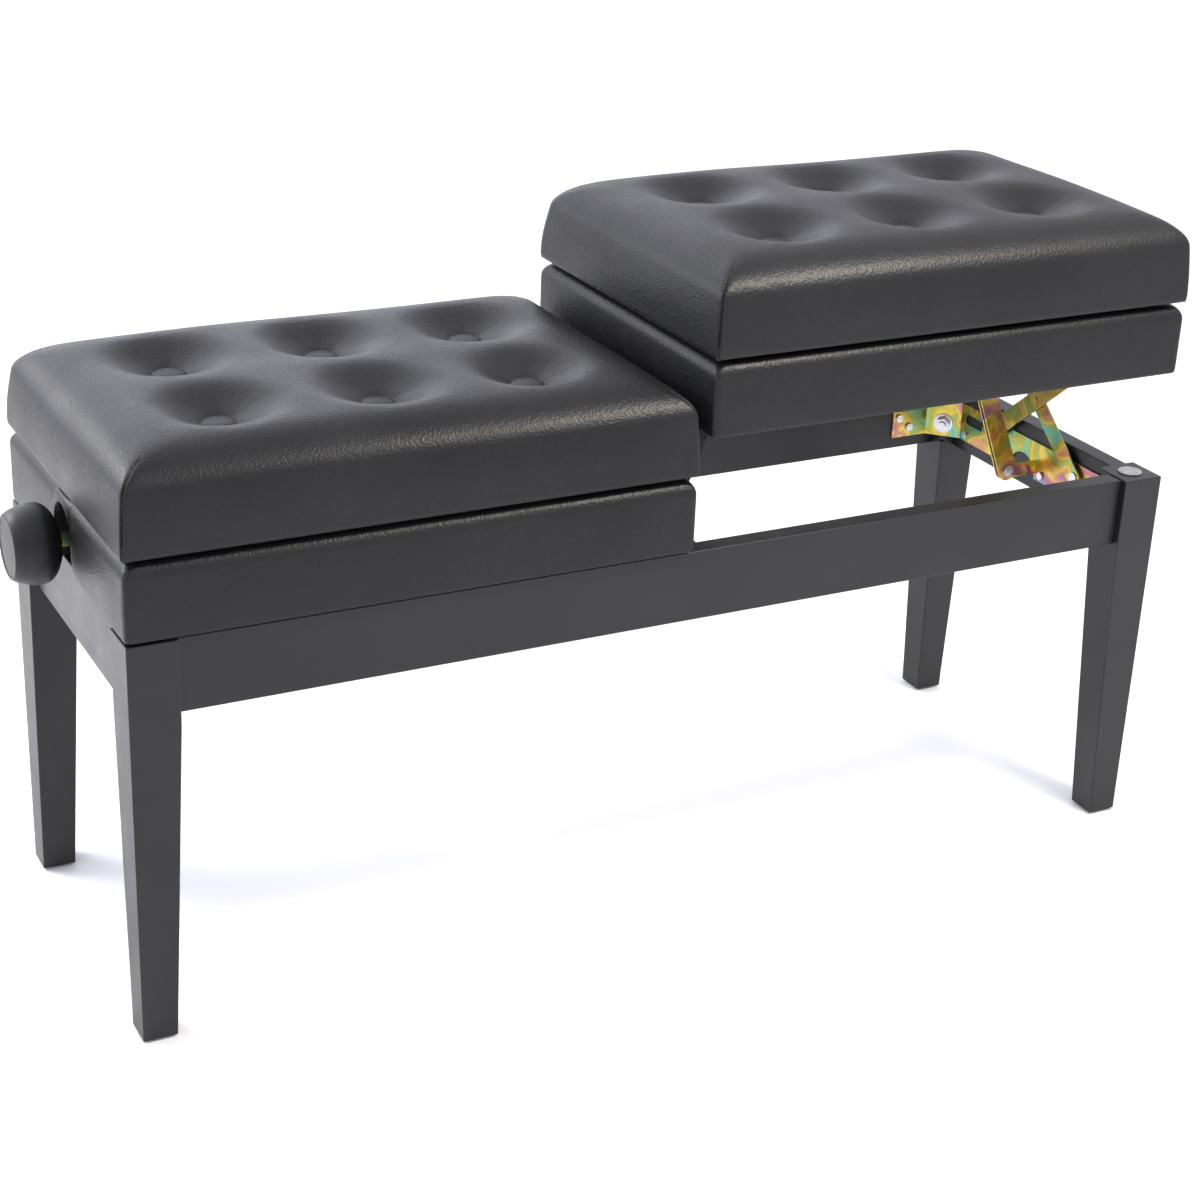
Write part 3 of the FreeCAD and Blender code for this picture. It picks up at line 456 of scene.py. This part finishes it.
STITCH_PITCH, STITCH_LENGTH, STITCH_RADIUS = 0.0042, 0.0030, 0.00038
STITCH_MARGIN = 0.002         # bare seam at both ends
STITCH_SIDES = 8
STITCH_SECTIONS = ((0.0, 0.35), (0.12, 0.85), (0.35, 1.0), (0.65, 1.0), (0.88, 0.85), (1.0, 0.35))

# radius and height of a covered button's dome
BUTTON_OUTLINE = [(0.0075, -0.0034), (0.0130, -0.0030), (0.0147, -0.0018), (0.0152, -0.0002),
                  (0.0149, 0.0012), (0.0138, 0.0022), (0.0118, 0.0029), (0.0088, 0.0034),
                  (0.0050, 0.0037), (0.0018, 0.0038)]
BUTTON_TURNS = 40
GATHERS, GATHER_DEPTH, GATHER_WIDTH = 14, 0.012, 0.0014
BUTTON_LEAN = 0.03


def cushion_buttons(low, high):
    cx = (low[0] + high[0]) / 2
    return [(cx + i * BUTTON_PITCH, j * BUTTON_ROW) for j in (-1, 1) for i in (-1, 0, 1)]


def dimple(x, y, buttons):
    """How far down the leather is pulled, from 0 on a ridge to 1 under a button."""
    depth = 0.0
    for bx, by in buttons:
        away = max(math.hypot(x - bx, y - by) - BUTTON_RADIUS * PULL_FROM, 0.0)
        bowl = 0.5 + 0.5 * math.cos(math.pi * min(away / BOWL_RADIUS, 1.0))
        depth += BOWL_SHARE * bowl ** BOWL_POWER + TUCK_SHARE * math.exp(-away / TUCK_REACH)
    return min(depth, 1.0)


def corner_rounds(inset, lift):
    """Corner radii in plan, front and rear; lift goes from 0 low on the side to 1 at the rounding."""
    front = FRONT_CORNER + FRONT_GROWTH * inset
    return front, REAR_CORNER + REAR_SOFTNESS * lift ** 1.5 + REAR_GROWTH * inset


def cushion_profile(base, top):
    """Inset and height of each row of the cover, from the underside to the end of the rounding."""
    profile = [(inset, base + up) for inset, up in UNDERSIDE]
    for t in range(1, SIDE_ROWS + 1):
        share = t / SIDE_ROWS
        up = (CUSHION_SIDE - SIDE_START) * t / SIDE_ROWS
        profile.append((SIDE_TAPER * share ** 1.6, base + SIDE_START + up))
    rise = top - (base + CUSHION_SIDE)
    for t in range(1, ROLL_ROWS + 1):
        across, up = quarter_turn(t, ROLL_ROWS)
        profile.append((SIDE_TAPER + (CUSHION_ROLL - SIDE_TAPER) * across, base + CUSHION_SIDE + rise * up))
    return profile


def shape_top(points, cx, half_x, half_y, base, top, buttons):
    """Crown the cover, let its corners droop and pull the bowls in; then put it in its place."""
    for point in points:
        x, y, z = point
        if z > base + SHAPE_START:
            share = (z - base - SHAPE_START) / (top - base - SHAPE_START)
            crown = CROWN * (1 - (x / half_x) ** 4) * (1 - (y / half_y) ** 4)
            droop = (REAR_DROOP if y > 0 else FRONT_DROOP) * abs(x / half_x) ** 9 * abs(y / half_y) ** 6
            fall = crown + RISE - BUTTON_SEAT_DROP * dimple(x + cx, y, buttons)
            point[2] = z + fall * min(1.0, share ** 3) - droop * min(1.0, share)
        point[0] = x + cx


def cushion_mesh(name, side_name, buttons, low, high, seed):
    """One seat's cover before it is filled: underside, sides, rounding and top, open under the lid."""
    wander = random.Random(seed)
    phase_x, phase_y = wander.uniform(0, math.tau), wander.uniform(0, math.tau)

    def sway(x, y):
        return SWAY * (math.sin(SWAY_WAYS[0] * x + phase_x) + math.sin(SWAY_WAYS[1] * y + phase_y))

    cx, half_x, half_y = (low[0] + high[0]) / 2, (high[0] - low[0]) / 2, (high[1] - low[1]) / 2
    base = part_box(side_name + "_lid_board")[0][2]
    top = high[2] - TOP_BELOW_BOX
    xs = corner_samples(half_x, MESH_STEP, CORNER_STEPS)
    ys = corner_samples(half_y, MESH_STEP, CORNER_STEPS)
    profile = cushion_profile(base, top)
    first_side = len(UNDERSIDE)
    points, rings = [], []
    for row, (inset, z) in enumerate(profile):
        lift = min(1.0, max(0.0, (z - base - LIFT_START) / (CUSHION_SIDE - LIFT_START)))
        swaying = min(1.0, max(0.0, (row - first_side) / SWAY_ROWS))
        rings.append(len(points))
        for x, y in ring(xs, ys, half_x, half_y, inset, corner_rounds(inset, lift)):
            points.append([x, y, z + sway(x, y) * swaying])
    nx, ny = len(xs), len(ys)
    count = 2 * (nx + ny) - 4
    faces = stitch_faces(count, len(profile))
    # the top is a grid; its outer points are those of the last ring
    last = rings[-1]
    index = {}
    for i in range(nx):
        index[i, 0] = last + i
        index[i, ny - 1] = last + (nx - 1) + (ny - 1) + (nx - 1 - i)
    for j in range(ny):
        index[nx - 1, j] = last + (nx - 1) + j
        index[0, j] = last + (2 * (nx - 1) + (ny - 1) + (ny - 1 - j)) % count if j else last
    ax, ay = half_x - CUSHION_ROLL, half_y - CUSHION_ROLL
    rounds = corner_rounds(CUSHION_ROLL, 1.0)
    for j in range(1, ny - 1):
        for i in range(1, nx - 1):
            x, y = xs[i] * ax / half_x, ys[j] * ay / half_y
            share = max(abs(x) / ax, abs(y) / ay)
            x, y = rounded(x, y, ax * share, ay * share, [radius * share for radius in rounds])
            index[i, j] = len(points)
            points.append([x, y, top + sway(x, y)])
    faces += [(index[i, j], index[i + 1, j], index[i + 1, j + 1], index[i, j + 1])
              for j in range(ny - 1) for i in range(nx - 1)]
    shape_top(points, cx, half_x, half_y, base, top, buttons)
    piece = mesh_object(name, points, faces, LEATHER)
    # the points along each corner seam, with the neighbour on either side
    seam_rows = [row for row in range(first_side - 1, len(profile)) if profile[row][0] < SEAM_REACH]
    corners = [[[rings[row] + (k + away) % count for away in (0, -1, 1)] for row in seam_rows]
               for k in (0, nx - 1, nx + ny - 2, 2 * nx + ny - 3)]
    return piece, corners, base, top


def places(mesh):
    """A mesh's points as rows of X, Y and Z."""
    flat = np.empty(len(mesh.vertices) * 3)
    mesh.vertices.foreach_get("co", flat)
    return flat.reshape(-1, 3)


def even_out(move, mesh, times):
    """Each point's move averaged with its neighbours', so that no small wrinkles are left."""
    ends = np.empty(len(mesh.edges) * 2, dtype=int)
    mesh.edges.foreach_get("vertices", ends)
    first, second = ends.reshape(-1, 2).T
    links = np.bincount(ends, minlength=len(move))[:, None]
    for _ in range(times):
        around = np.zeros_like(move)
        np.add.at(around, first, move[second])
        np.add.at(around, second, move[first])
        move = 0.5 * move + 0.5 * around / np.maximum(links, 1)
    return move


def fill_cushion(piece, base, top, buttons):
    """Inflate the cover like foam under leather: buttons and lower edge stay where they are."""
    start = places(piece.data)
    held = piece.vertex_groups.new(name="held")
    spots = np.array(buttons)
    away = np.min(np.hypot(start[:, None, 0] - spots[:, 0], start[:, None, 1] - spots[:, 1]), axis=1)
    under_button = (start[:, 2] > base + TOP_FROM) & (away < BUTTON_RADIUS * PIN_WITHIN)
    fixed = (start[:, 2] < base + PINNED_SIDE) | under_button
    held.add([int(i) for i in np.nonzero(fixed)[0]], 1.0, "REPLACE")
    cloth = piece.modifiers.new("Cloth", "CLOTH")
    settings = cloth.settings
    settings.vertex_group_mass = "held"
    settings.quality = 6
    settings.mass = 0.3
    settings.tension_stiffness = settings.compression_stiffness = 30
    settings.shear_stiffness = 8
    settings.bending_stiffness = 8.0
    settings.use_pressure = True
    settings.uniform_pressure_force = 4.0
    settings.effector_weights.gravity = 0.0
    cloth.point_cache.frame_start, cloth.point_cache.frame_end = 1, FILL_FRAMES
    scene = bpy.context.scene
    for moment in range(1, FILL_FRAMES + 1):
        scene.frame_set(moment)
    keep_evaluated(piece)
    scene.frame_set(1)
    mesh = piece.data
    move = even_out(places(mesh) - start, mesh, EVEN_ROUNDS)
    length = np.linalg.norm(move, axis=1)
    rounding = np.clip((start[:, 2] - base - CUSHION_SIDE) / (top - base - CUSHION_SIDE), 0.0, 1.0)
    cap = SIDE_CAP + (TOP_CAP - SIDE_CAP) * rounding
    # a soft cap: short moves stay, long ones level off
    kept = cap * np.tanh(length / cap)
    move *= (kept / np.maximum(length, 1e-9))[:, None]
    mesh.vertices.foreach_set("co", (start + move).ravel())
    mesh.update()
    print("cushion moved", round(float(length.max()) * 1000, 1), "mm at most")


def pleats(piece, base, buttons, seed):
    """Short gathers in the leather round each button."""
    chance = random.Random(seed)
    plans = []
    for bx, by in buttons:
        folds = [(chance.uniform(0, math.tau), chance.uniform(0.5, 1.0), chance.uniform(0.012, 0.024))
                 for _ in range(PLEATS)]
        plans.append((bx, by, folds))
    for vertex in piece.data.vertices:
        x, y, z = vertex.co
        if z < base + TOP_FROM:
            continue
        for bx, by, folds in plans:
            away = math.hypot(x - bx, y - by)
            if away > PLEAT_END or away < BUTTON_RADIUS * PLEAT_FROM:
                continue
            angle = math.atan2(y - by, x - bx)
            out = max(away - BUTTON_RADIUS, 0.0)
            for direction, depth, reach in folds:
                turn = (angle - direction + math.pi) % math.tau - math.pi
                across = turn * away / PLEAT_WIDTH
                vertex.co.z -= PLEAT_DEPTH * depth * math.exp(-across * across - out / reach)


def corner_seams(piece, corners):
    """Pull the leather in along the four corner seams, and return the seam lines."""
    vertices = piece.data.vertices
    middle = sum(v.co.x for v in vertices) / len(vertices)
    paths = []
    for column in corners:
        path = []
        for step, (number, *beside) in enumerate(column):
            vertex = vertices[number]
            to_middle = math.copysign(1, middle - vertex.co.x), math.copysign(1, -vertex.co.y)
            inward = Vector((*to_middle, 0.0)).normalized()
            above = step / len(column)
            down = inward * (1 - above) - Vector((0, 0, above))
            fade = min(1.0, (len(column) - 1 - step) / SEAM_FADE_ROWS)
            pull = down * SEAM_DEPTH * fade
            vertex.co += pull
            for number in beside:
                vertices[number].co += pull * SEAM_BESIDE
            path.append(vertex.co - down * (THREAD_RISE + THREAD_RISE_IN_SEAM * fade))
        paths.append(path)
    return paths


def stitches(name, paths):
    """Short rounded lengths of thread laid end to end along each path."""
    points, faces = [], []
    last_ring = STITCH_SIDES * (len(STITCH_SECTIONS) - 1)
    for path in paths:
        lengths = [0.0]
        for a, b in zip(path, path[1:]):
            lengths.append(lengths[-1] + (b - a).length)

        def at(distance):
            k = max(i for i in range(len(path)) if lengths[i] <= distance + 1e-9)
            k = min(k, len(path) - 2)
            share = (distance - lengths[k]) / max(lengths[k + 1] - lengths[k], 1e-9)
            return path[k].lerp(path[k + 1], share)

        start = STITCH_MARGIN
        while start + STITCH_LENGTH < lengths[-1] - STITCH_MARGIN:
            a, b = at(start), at(start + STITCH_LENGTH)
            along = (b - a).normalized()
            across = along.orthogonal().normalized()
            other = along.cross(across)
            first = len(points)
            for share, size in STITCH_SECTIONS:
                for k in range(STITCH_SIDES):
                    angle = math.tau * k / STITCH_SIDES
                    out = across * math.cos(angle) + other * math.sin(angle)
                    points.append(a.lerp(b, share) + out * STITCH_RADIUS * size)
            faces += counted_from(first, stitch_faces(STITCH_SIDES, len(STITCH_SECTIONS)))
            faces.append(tuple(first + k for k in reversed(range(STITCH_SIDES))))
            faces.append(tuple(first + last_ring + k for k in range(STITCH_SIDES)))
            start += STITCH_PITCH
    piece = mesh_object(name, points, faces, THREAD)
    outward(piece)
    return piece


def lathe(outline, turns):
    """Points and faces of (radius, height) pairs turned about Z, closed at both ends."""
    points = [(r * math.cos(math.tau * k / turns), r * math.sin(math.tau * k / turns), h)
              for r, h in outline for k in range(turns)]
    faces = stitch_faces(turns, len(outline))
    faces.append(tuple(reversed(range(turns))))
    faces.append(tuple((len(outline) - 1) * turns + k for k in range(turns)))
    return points, faces


def button_caps(name, spots, height, seed):
    """Leather-covered domes with a gathered rim."""
    chance = random.Random(seed)
    base, quads = lathe(BUTTON_OUTLINE, BUTTON_TURNS)
    points, faces = [], []
    for x, y in spots:
        faces += counted_from(len(points), quads)
        phase, lean = chance.uniform(0, math.tau), chance.uniform(-BUTTON_LEAN, BUTTON_LEAN)
        for px, py, pz in base:
            rim = math.exp(-((math.hypot(px, py) - BUTTON_RADIUS) / GATHER_WIDTH) ** 2)
            gather = 1 + GATHER_DEPTH * rim * math.sin(GATHERS * math.atan2(py, px) + phase)
            points.append((x + px * gather, y + py * gather, height + pz + lean * px))
    piece = mesh_object(name, points, faces, LEATHER)
    subdivide(piece)
    outward(piece)
    return piece


def seat(side_name):
    low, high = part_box(side_name + "_lid_cushion")
    seed = SEAT_SEEDS[side_name]
    buttons = cushion_buttons(low, high)
    piece, corners, base, top = cushion_mesh(side_name + "_seat_cushion", side_name, buttons, low, high, seed)
    fill_cushion(piece, base, top, buttons)
    pleats(piece, base, buttons, seed)
    seam_lines = corner_seams(piece, corners)
    subdivide(piece, capped=True)
    outward(piece)
    lid = side_name + "_lid"
    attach(piece, lid)
    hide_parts(side_name + "_lid_cushion")
    sewing = stitches(side_name + "_corner_stitches", seam_lines)
    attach(sewing, lid)
    height = high[2] - BUTTON_SEAT_DROP + BUTTON_HEIGHT
    caps = button_caps(side_name + "_seat_buttons", buttons, height, seed + 1)
    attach(caps, lid)
    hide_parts(side_name + "_cushion_buttons")


# ---- leather-covered boxes -------------------------------------------------------------------

NOTCH_RADIUS, NOTCH_SPRING = 0.0228, 0.033     # the arch for the screw, and the height it springs from
NOTCH_TURNS = 16
NOTCH_CLEAR = 0.004           # no other column of points comes this near the arch
NOTCH_FOLD = ((0.0009, 0.0005), (0.0030, 0.0008), (0.0080, 0.0008), (0.0155, 0.0008))    # in, and proud
FOLD_START_ROW = 3
WRAP_ROLL, WRAP_DROP = 0.0110, 0.0128          # the padded top edge: how far in and how far down it curves
WRAP_ROLL_ROWS = 8
WRAP_CORNER, WRAP_CORNER_GROWTH = 0.0050, 0.4
WRAP_CORNER_STEPS = [0.0, 0.0015, 0.003, 0.0045, 0.006, 0.0075, 0.009]
WRAP_STEP = 0.0085
# inset and height: turned in under the box, up the side, over the wall and down its inner face
WRAP_UNDERSIDE = [(0.0120, -0.0003), (0.0045, -0.0004), (0.0014, -0.0002), (0.0003, 0.0008), (0.0, 0.0028)]
WRAP_LEVELS = [0.009, 0.015, 0.021, 0.027, NOTCH_SPRING, 0.0365, 0.040, 0.0435, 0.047]
WRAP_OVER_WALL = [(0.0125, 0.0), (0.0142, -0.0001), (0.0158, -0.0009), (0.0168, -0.0030), (0.0170, -0.0080)]
WRAP_END = (0.0170, 0.0475)
PUFF, WRINKLE = 0.0011, 0.00018                # bulge in the middle of a side, and its faint waves
ON_SIDE = 0.001               # a point less far in than this is on an upright side
SKIN = 0.001


def notch_rise(y):
    """How far the arch stands above its springing at y across it."""
    return math.sqrt(max(NOTCH_RADIUS ** 2 - y ** 2, 0.0))


def puffed(x, y, z, half_x, half_y, shoulder, phases):
    """A point of a box side moved out a little, as leather bulges over a thin pad."""
    share = z / shoulder
    puff = PUFF * 4 * share * (1 - share)
    puff += WRINKLE * math.sin(31 * x + 47 * z + phases[0]) * math.sin(90 * z + phases[1] + 13 * y)
    if abs(abs(y) - half_y) < 1e-6:
        y += math.copysign(puff * (1 - (x / half_x) ** 8), y)
    elif abs(abs(x) - half_x) < 1e-6:
        x += math.copysign(puff * (1 - (y / half_y) ** 8), x)
    return x, y


def box_wrap(side_name, side):
    """Leather stretched over the box walls, turned in at the top and round the notch for the screw."""
    low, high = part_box(side_name + "_box_leather")
    base, depth = low[2], high[2] - low[2]
    cx, half_x, half_y = (low[0] + high[0]) / 2, (high[0] - low[0]) / 2, (high[1] - low[1]) / 2
    xs = corner_samples(half_x, WRAP_STEP, WRAP_CORNER_STEPS)
    ys = corner_samples(half_y, WRAP_STEP, WRAP_CORNER_STEPS)
    arch = [NOTCH_RADIUS * math.cos(math.pi * k / NOTCH_TURNS) for k in range(NOTCH_TURNS + 1)]
    ys = sorted([y for y in ys if abs(y) > NOTCH_RADIUS + NOTCH_CLEAR] + arch)
    shoulder = depth - WRAP_DROP
    profile = WRAP_UNDERSIDE + [(0.0, z) for z in WRAP_LEVELS + [shoulder]]
    spring_row = len(WRAP_UNDERSIDE) + WRAP_LEVELS.index(NOTCH_SPRING)
    roll_end = len(profile) + WRAP_ROLL_ROWS
    for t in range(1, WRAP_ROLL_ROWS + 1):
        across, up = quarter_turn(t, WRAP_ROLL_ROWS)
        profile.append((WRAP_ROLL * across, shoulder + WRAP_DROP * up))
    profile += [(inset, depth + up) for inset, up in WRAP_OVER_WALL] + [WRAP_END]
    nx, ny = len(xs), len(ys)
    count = 2 * (nx + ny) - 4
    wave = random.Random(BOX_SEEDS[side_name])
    phases = wave.uniform(0, math.tau), wave.uniform(0, math.tau)
    points = []
    for inset, z in profile:
        corner = WRAP_CORNER + inset * WRAP_CORNER_GROWTH
        for x, y in ring(xs, ys, half_x, half_y, inset, (corner, corner)):
            if z <= shoulder and inset < ON_SIDE:
                x, y = puffed(x, y, z, half_x, half_y, shoulder, phases)
            points.append([x + cx, y, z + base])
    faces = stitch_faces(count, len(profile))
    # the outer end's columns, from its first corner along Y
    start = nx - 1 if side > 0 else 2 * (nx - 1) + (ny - 1)
    column_y = ys if side > 0 else ys[::-1]
    inside = [k for k, y in enumerate(column_y) if abs(y) <= NOTCH_RADIUS + 1e-9]
    gone = {row * count + start + k for k in inside[:-1] for row in range(spring_row)}
    faces = [face for face in faces if face[0] not in gone]
    # the rows above the notch are lifted over its arch
    for k in inside[1:-1]:
        spring = NOTCH_SPRING + notch_rise(column_y[k])
        for row in range(spring_row, roll_end):
            share = (profile[row][1] - NOTCH_SPRING) / (depth - NOTCH_SPRING)
            points[row * count + start + k][2] = base + spring + (depth - spring) * share
    # the leather folds in round the notch: each edge point with its way out of the notch
    fold_rows = range(FOLD_START_ROW, spring_row)

    def upright(k, rows):
        return [(row * count + start + k, (math.copysign(1, column_y[k]), 0.0)) for row in rows]

    edge = upright(inside[0], fold_rows)
    for k in inside:
        away = column_y[k] / NOTCH_RADIUS, notch_rise(column_y[k]) / NOTCH_RADIUS
        edge.append((spring_row * count + start + k, away))
    edge += upright(inside[-1], reversed(fold_rows))
    previous = [number for number, _ in edge]
    for depth_in, proud in NOTCH_FOLD:
        fold = []
        for number, (away_y, away_z) in edge:
            _, y, z = points[number]
            fold.append(len(points))
            points.append([cx + side * (half_x - depth_in), y - away_y * proud, z - away_z * proud])
        faces += [(a, b, d, c) for a, b, c, d in zip(previous, previous[1:], fold, fold[1:])]
        previous = fold
    used = sorted({n for face in faces for n in face})
    renumber = {n: i for i, n in enumerate(used)}
    piece = mesh_object(side_name + "_box_wrap", [points[n] for n in used],
                        [tuple(renumber[n] for n in face) for face in faces], LEATHER)
    outward(piece)
    # an open sheet's normals may come out either way; the front face has to look to the front
    front = min(piece.data.polygons, key=lambda f: f.center.y)
    if front.normal.y > 0:
        piece.data.flip_normals()
    thick = piece.modifiers.new("Skin", "SOLIDIFY")
    thick.thickness, thick.offset = SKIN, -1.0
    keep_evaluated(piece)
    subdivide(piece)
    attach(piece, side_name + "_seat")
    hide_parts(side_name + "_box_leather")


# ---- knobs and felt pads ---------------------------------------------------------------------

KNOB_RADIUS, KNOB_BACK, KNOB_FRONT = 0.0335, 0.0195, 0.0272      # where widest, at the back, at the face
KNOB_WIDEST = 0.0165          # how far from its back the knob is widest
KNOB_SIDE_ROWS = 14
BACK_EDGE, FACE_EDGE = 0.0016, 0.0022          # the side begins and ends this far from back and face
# radius, and distance from the back or from the face
KNOB_REAR = [(0.0062, 0.0), (0.0145, 0.0), (0.0185, 0.0004), (0.0203, 0.0016)]
KNOB_FACE = [(0.0276, 0.0018), (0.0268, 0.0006), (0.0257, 0.0001), (0.0246, 0.0002), (0.0239, 0.0008),
             (0.0228, 0.0011), (0.0150, 0.0007), (0.0060, 0.0005), (0.0015, 0.0005)]
KNOB_TURNS = 64
PAD_RADIUS, PAD_TURNS = 0.0115, 48


def knob(side_name, side):
    """A barrel-shaped knob with a shallow face inside a thin rim."""
    low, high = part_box(side_name + "_knob")
    axis_z = (low[2] + high[2]) / 2
    face, back = (high[0], low[0]) if side > 0 else (-low[0], -high[0])
    widest = back + KNOB_WIDEST
    outline = [(radius, back + along) for radius, along in KNOB_REAR]
    for k in range(1, KNOB_SIDE_ROWS):
        x = back + BACK_EDGE + (face - FACE_EDGE - back - BACK_EDGE) * k / KNOB_SIDE_ROWS
        if x < widest:
            share = (widest - x) / (widest - back)
            outline.append((KNOB_RADIUS - (KNOB_RADIUS - KNOB_BACK) * share ** 2.2, x))
        else:
            share = (x - widest) / (face - widest)
            outline.append((KNOB_RADIUS - (KNOB_RADIUS - KNOB_FRONT) * share ** 2.1, x))
    outline += [(radius, face - along) for radius, along in KNOB_FACE]
    points, faces = lathe(outline, KNOB_TURNS)
    points = [(side * z, x, axis_z + y) for x, y, z in points]
    piece = mesh_object(side_name + "_turning_knob", points, faces, PLASTIC)
    subdivide(piece)
    outward(piece)
    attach(piece, side_name + "_screw")
    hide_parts(side_name + "_knob")


def felt_pads():
    """Rounded felt discs on the leg tops, with a slightly ragged edge."""
    low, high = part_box("leg_top_pads")
    chance = random.Random(3)
    thick = high[2] - low[2]
    outline = [(PAD_RADIUS - 0.0008, 0.0), (PAD_RADIUS, thick * 0.25), (PAD_RADIUS - 0.0001, thick * 0.6),
               (PAD_RADIUS - 0.0009, thick * 0.9), (PAD_RADIUS - 0.0028, thick),
               (0.005, thick), (0.001, thick)]
    base, quads = lathe(outline, PAD_TURNS)
    points, faces = [], []
    for x in (low[0] + PAD_RADIUS, high[0] - PAD_RADIUS):
        for y in (low[1] + PAD_RADIUS, high[1] - PAD_RADIUS):
            faces += counted_from(len(points), quads)
            for px, py, pz in base:
                ragged = 1 + chance.uniform(-0.012, 0.004)
                points.append((x + px * ragged, y + py * ragged, low[2] + pz))
    piece = mesh_object("leg_felt_pads", points, faces, FELT)
    subdivide(piece)
    outward(piece)
    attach(piece, "frame")
    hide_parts("leg_top_pads")


for side_name, side in SIDES.items():
    seat(side_name)
    box_wrap(side_name, side)
    knob(side_name, side)
felt_pads()


# ---- studio ----------------------------------------------------------------------------------

def look_from(place, yaw, pitch, roll, lens):
    """A camera that looks along yaw (from +Y towards +X) and pitch below the horizon."""
    right = Vector((math.cos(yaw), -math.sin(yaw), 0.0))
    ahead = Vector((math.sin(yaw) * math.cos(pitch), math.cos(yaw) * math.cos(pitch), -math.sin(pitch)))
    up = right.cross(ahead)
    across = right * math.cos(roll) + up * math.sin(roll)
    upward = up * math.cos(roll) - right * math.sin(roll)
    data = bpy.data.cameras.new("camera")
    data.lens, data.sensor_width, data.sensor_fit = lens, 36.0, "AUTO"
    data.clip_start, data.clip_end = 0.05, 100.0
    camera = bpy.data.objects.new("camera", data)
    camera.matrix_world = Matrix.Translation(place) @ Matrix((across, upward, -ahead)).transposed().to_4x4()
    bpy.context.scene.collection.objects.link(camera)
    bpy.context.scene.camera = camera


def area_light(name, place, target, size, power, colour=(1.0, 1.0, 1.0)):
    data = bpy.data.lights.new(name, "AREA")
    data.shape, data.size, data.size_y = "RECTANGLE", size[0], size[1]
    data.energy, data.color = power, colour
    light = bpy.data.objects.new(name, data)
    light.location = place
    light.rotation_euler = (Vector(target) - Vector(place)).to_track_quat("-Z", "Y").to_euler()
    light.visible_camera = False
    bpy.context.scene.collection.objects.link(light)


def soft_surround(bright_way, low, high):
    """A white world that is brighter towards one side, like a room with one large window."""
    world = bpy.data.worlds.new("studio")
    world.use_nodes = True
    tree = world.node_tree
    ways = tree.nodes.new("ShaderNodeTexCoord")
    towards = tree.nodes.new("ShaderNodeVectorMath")
    towards.operation = "DOT_PRODUCT"
    towards.inputs[1].default_value = bright_way
    power = tree.nodes.new("ShaderNodeMapRange")
    power.interpolation_type = "SMOOTHSTEP"
    for socket, value in (("From Min", 0.25), ("From Max", 0.60), ("To Min", low), ("To Max", high)):
        power.inputs[socket].default_value = value
    surface = tree.nodes["Background"]
    surface.inputs["Color"].default_value = (0.975, 0.985, 1.09, 1.0)
    tree.links.new(ways.outputs["Generated"], towards.inputs[0])
    tree.links.new(towards.outputs["Value"], power.inputs["Value"])
    tree.links.new(power.outputs["Result"], surface.inputs["Strength"])
    bpy.context.scene.world = world


look_from(place=(-0.94658, -1.74023, 1.12209), yaw=0.495778, pitch=0.416801, roll=0.044003, lens=70.29)

FLOOR_HALF = 14.0
floor = mesh_object("floor", [(-FLOOR_HALF, -FLOOR_HALF, 0), (FLOOR_HALF, -FLOOR_HALF, 0),
                              (FLOOR_HALF, FLOOR_HALF, 0), (-FLOOR_HALF, FLOOR_HALF, 0)],
                    [(0, 1, 2, 3)], floor_paint(), smooth=False)

soft_surround(bright_way=(-0.6, 0.8, 0.0), low=0.97, high=2.2)
area_light("edge_glint", place=(0.60, -0.72, 1.45), target=(0.10, -0.16, 0.5), size=(0.40, 0.22),
           power=18, colour=(1.0, 0.93, 0.82))
area_light("left_floor", place=(-1.05, 0.65, 0.9), target=(-1.05, 0.65, 0.0), size=(0.5, 0.5), power=11)
bpy.context.scene.view_settings.view_transform = "Standard"
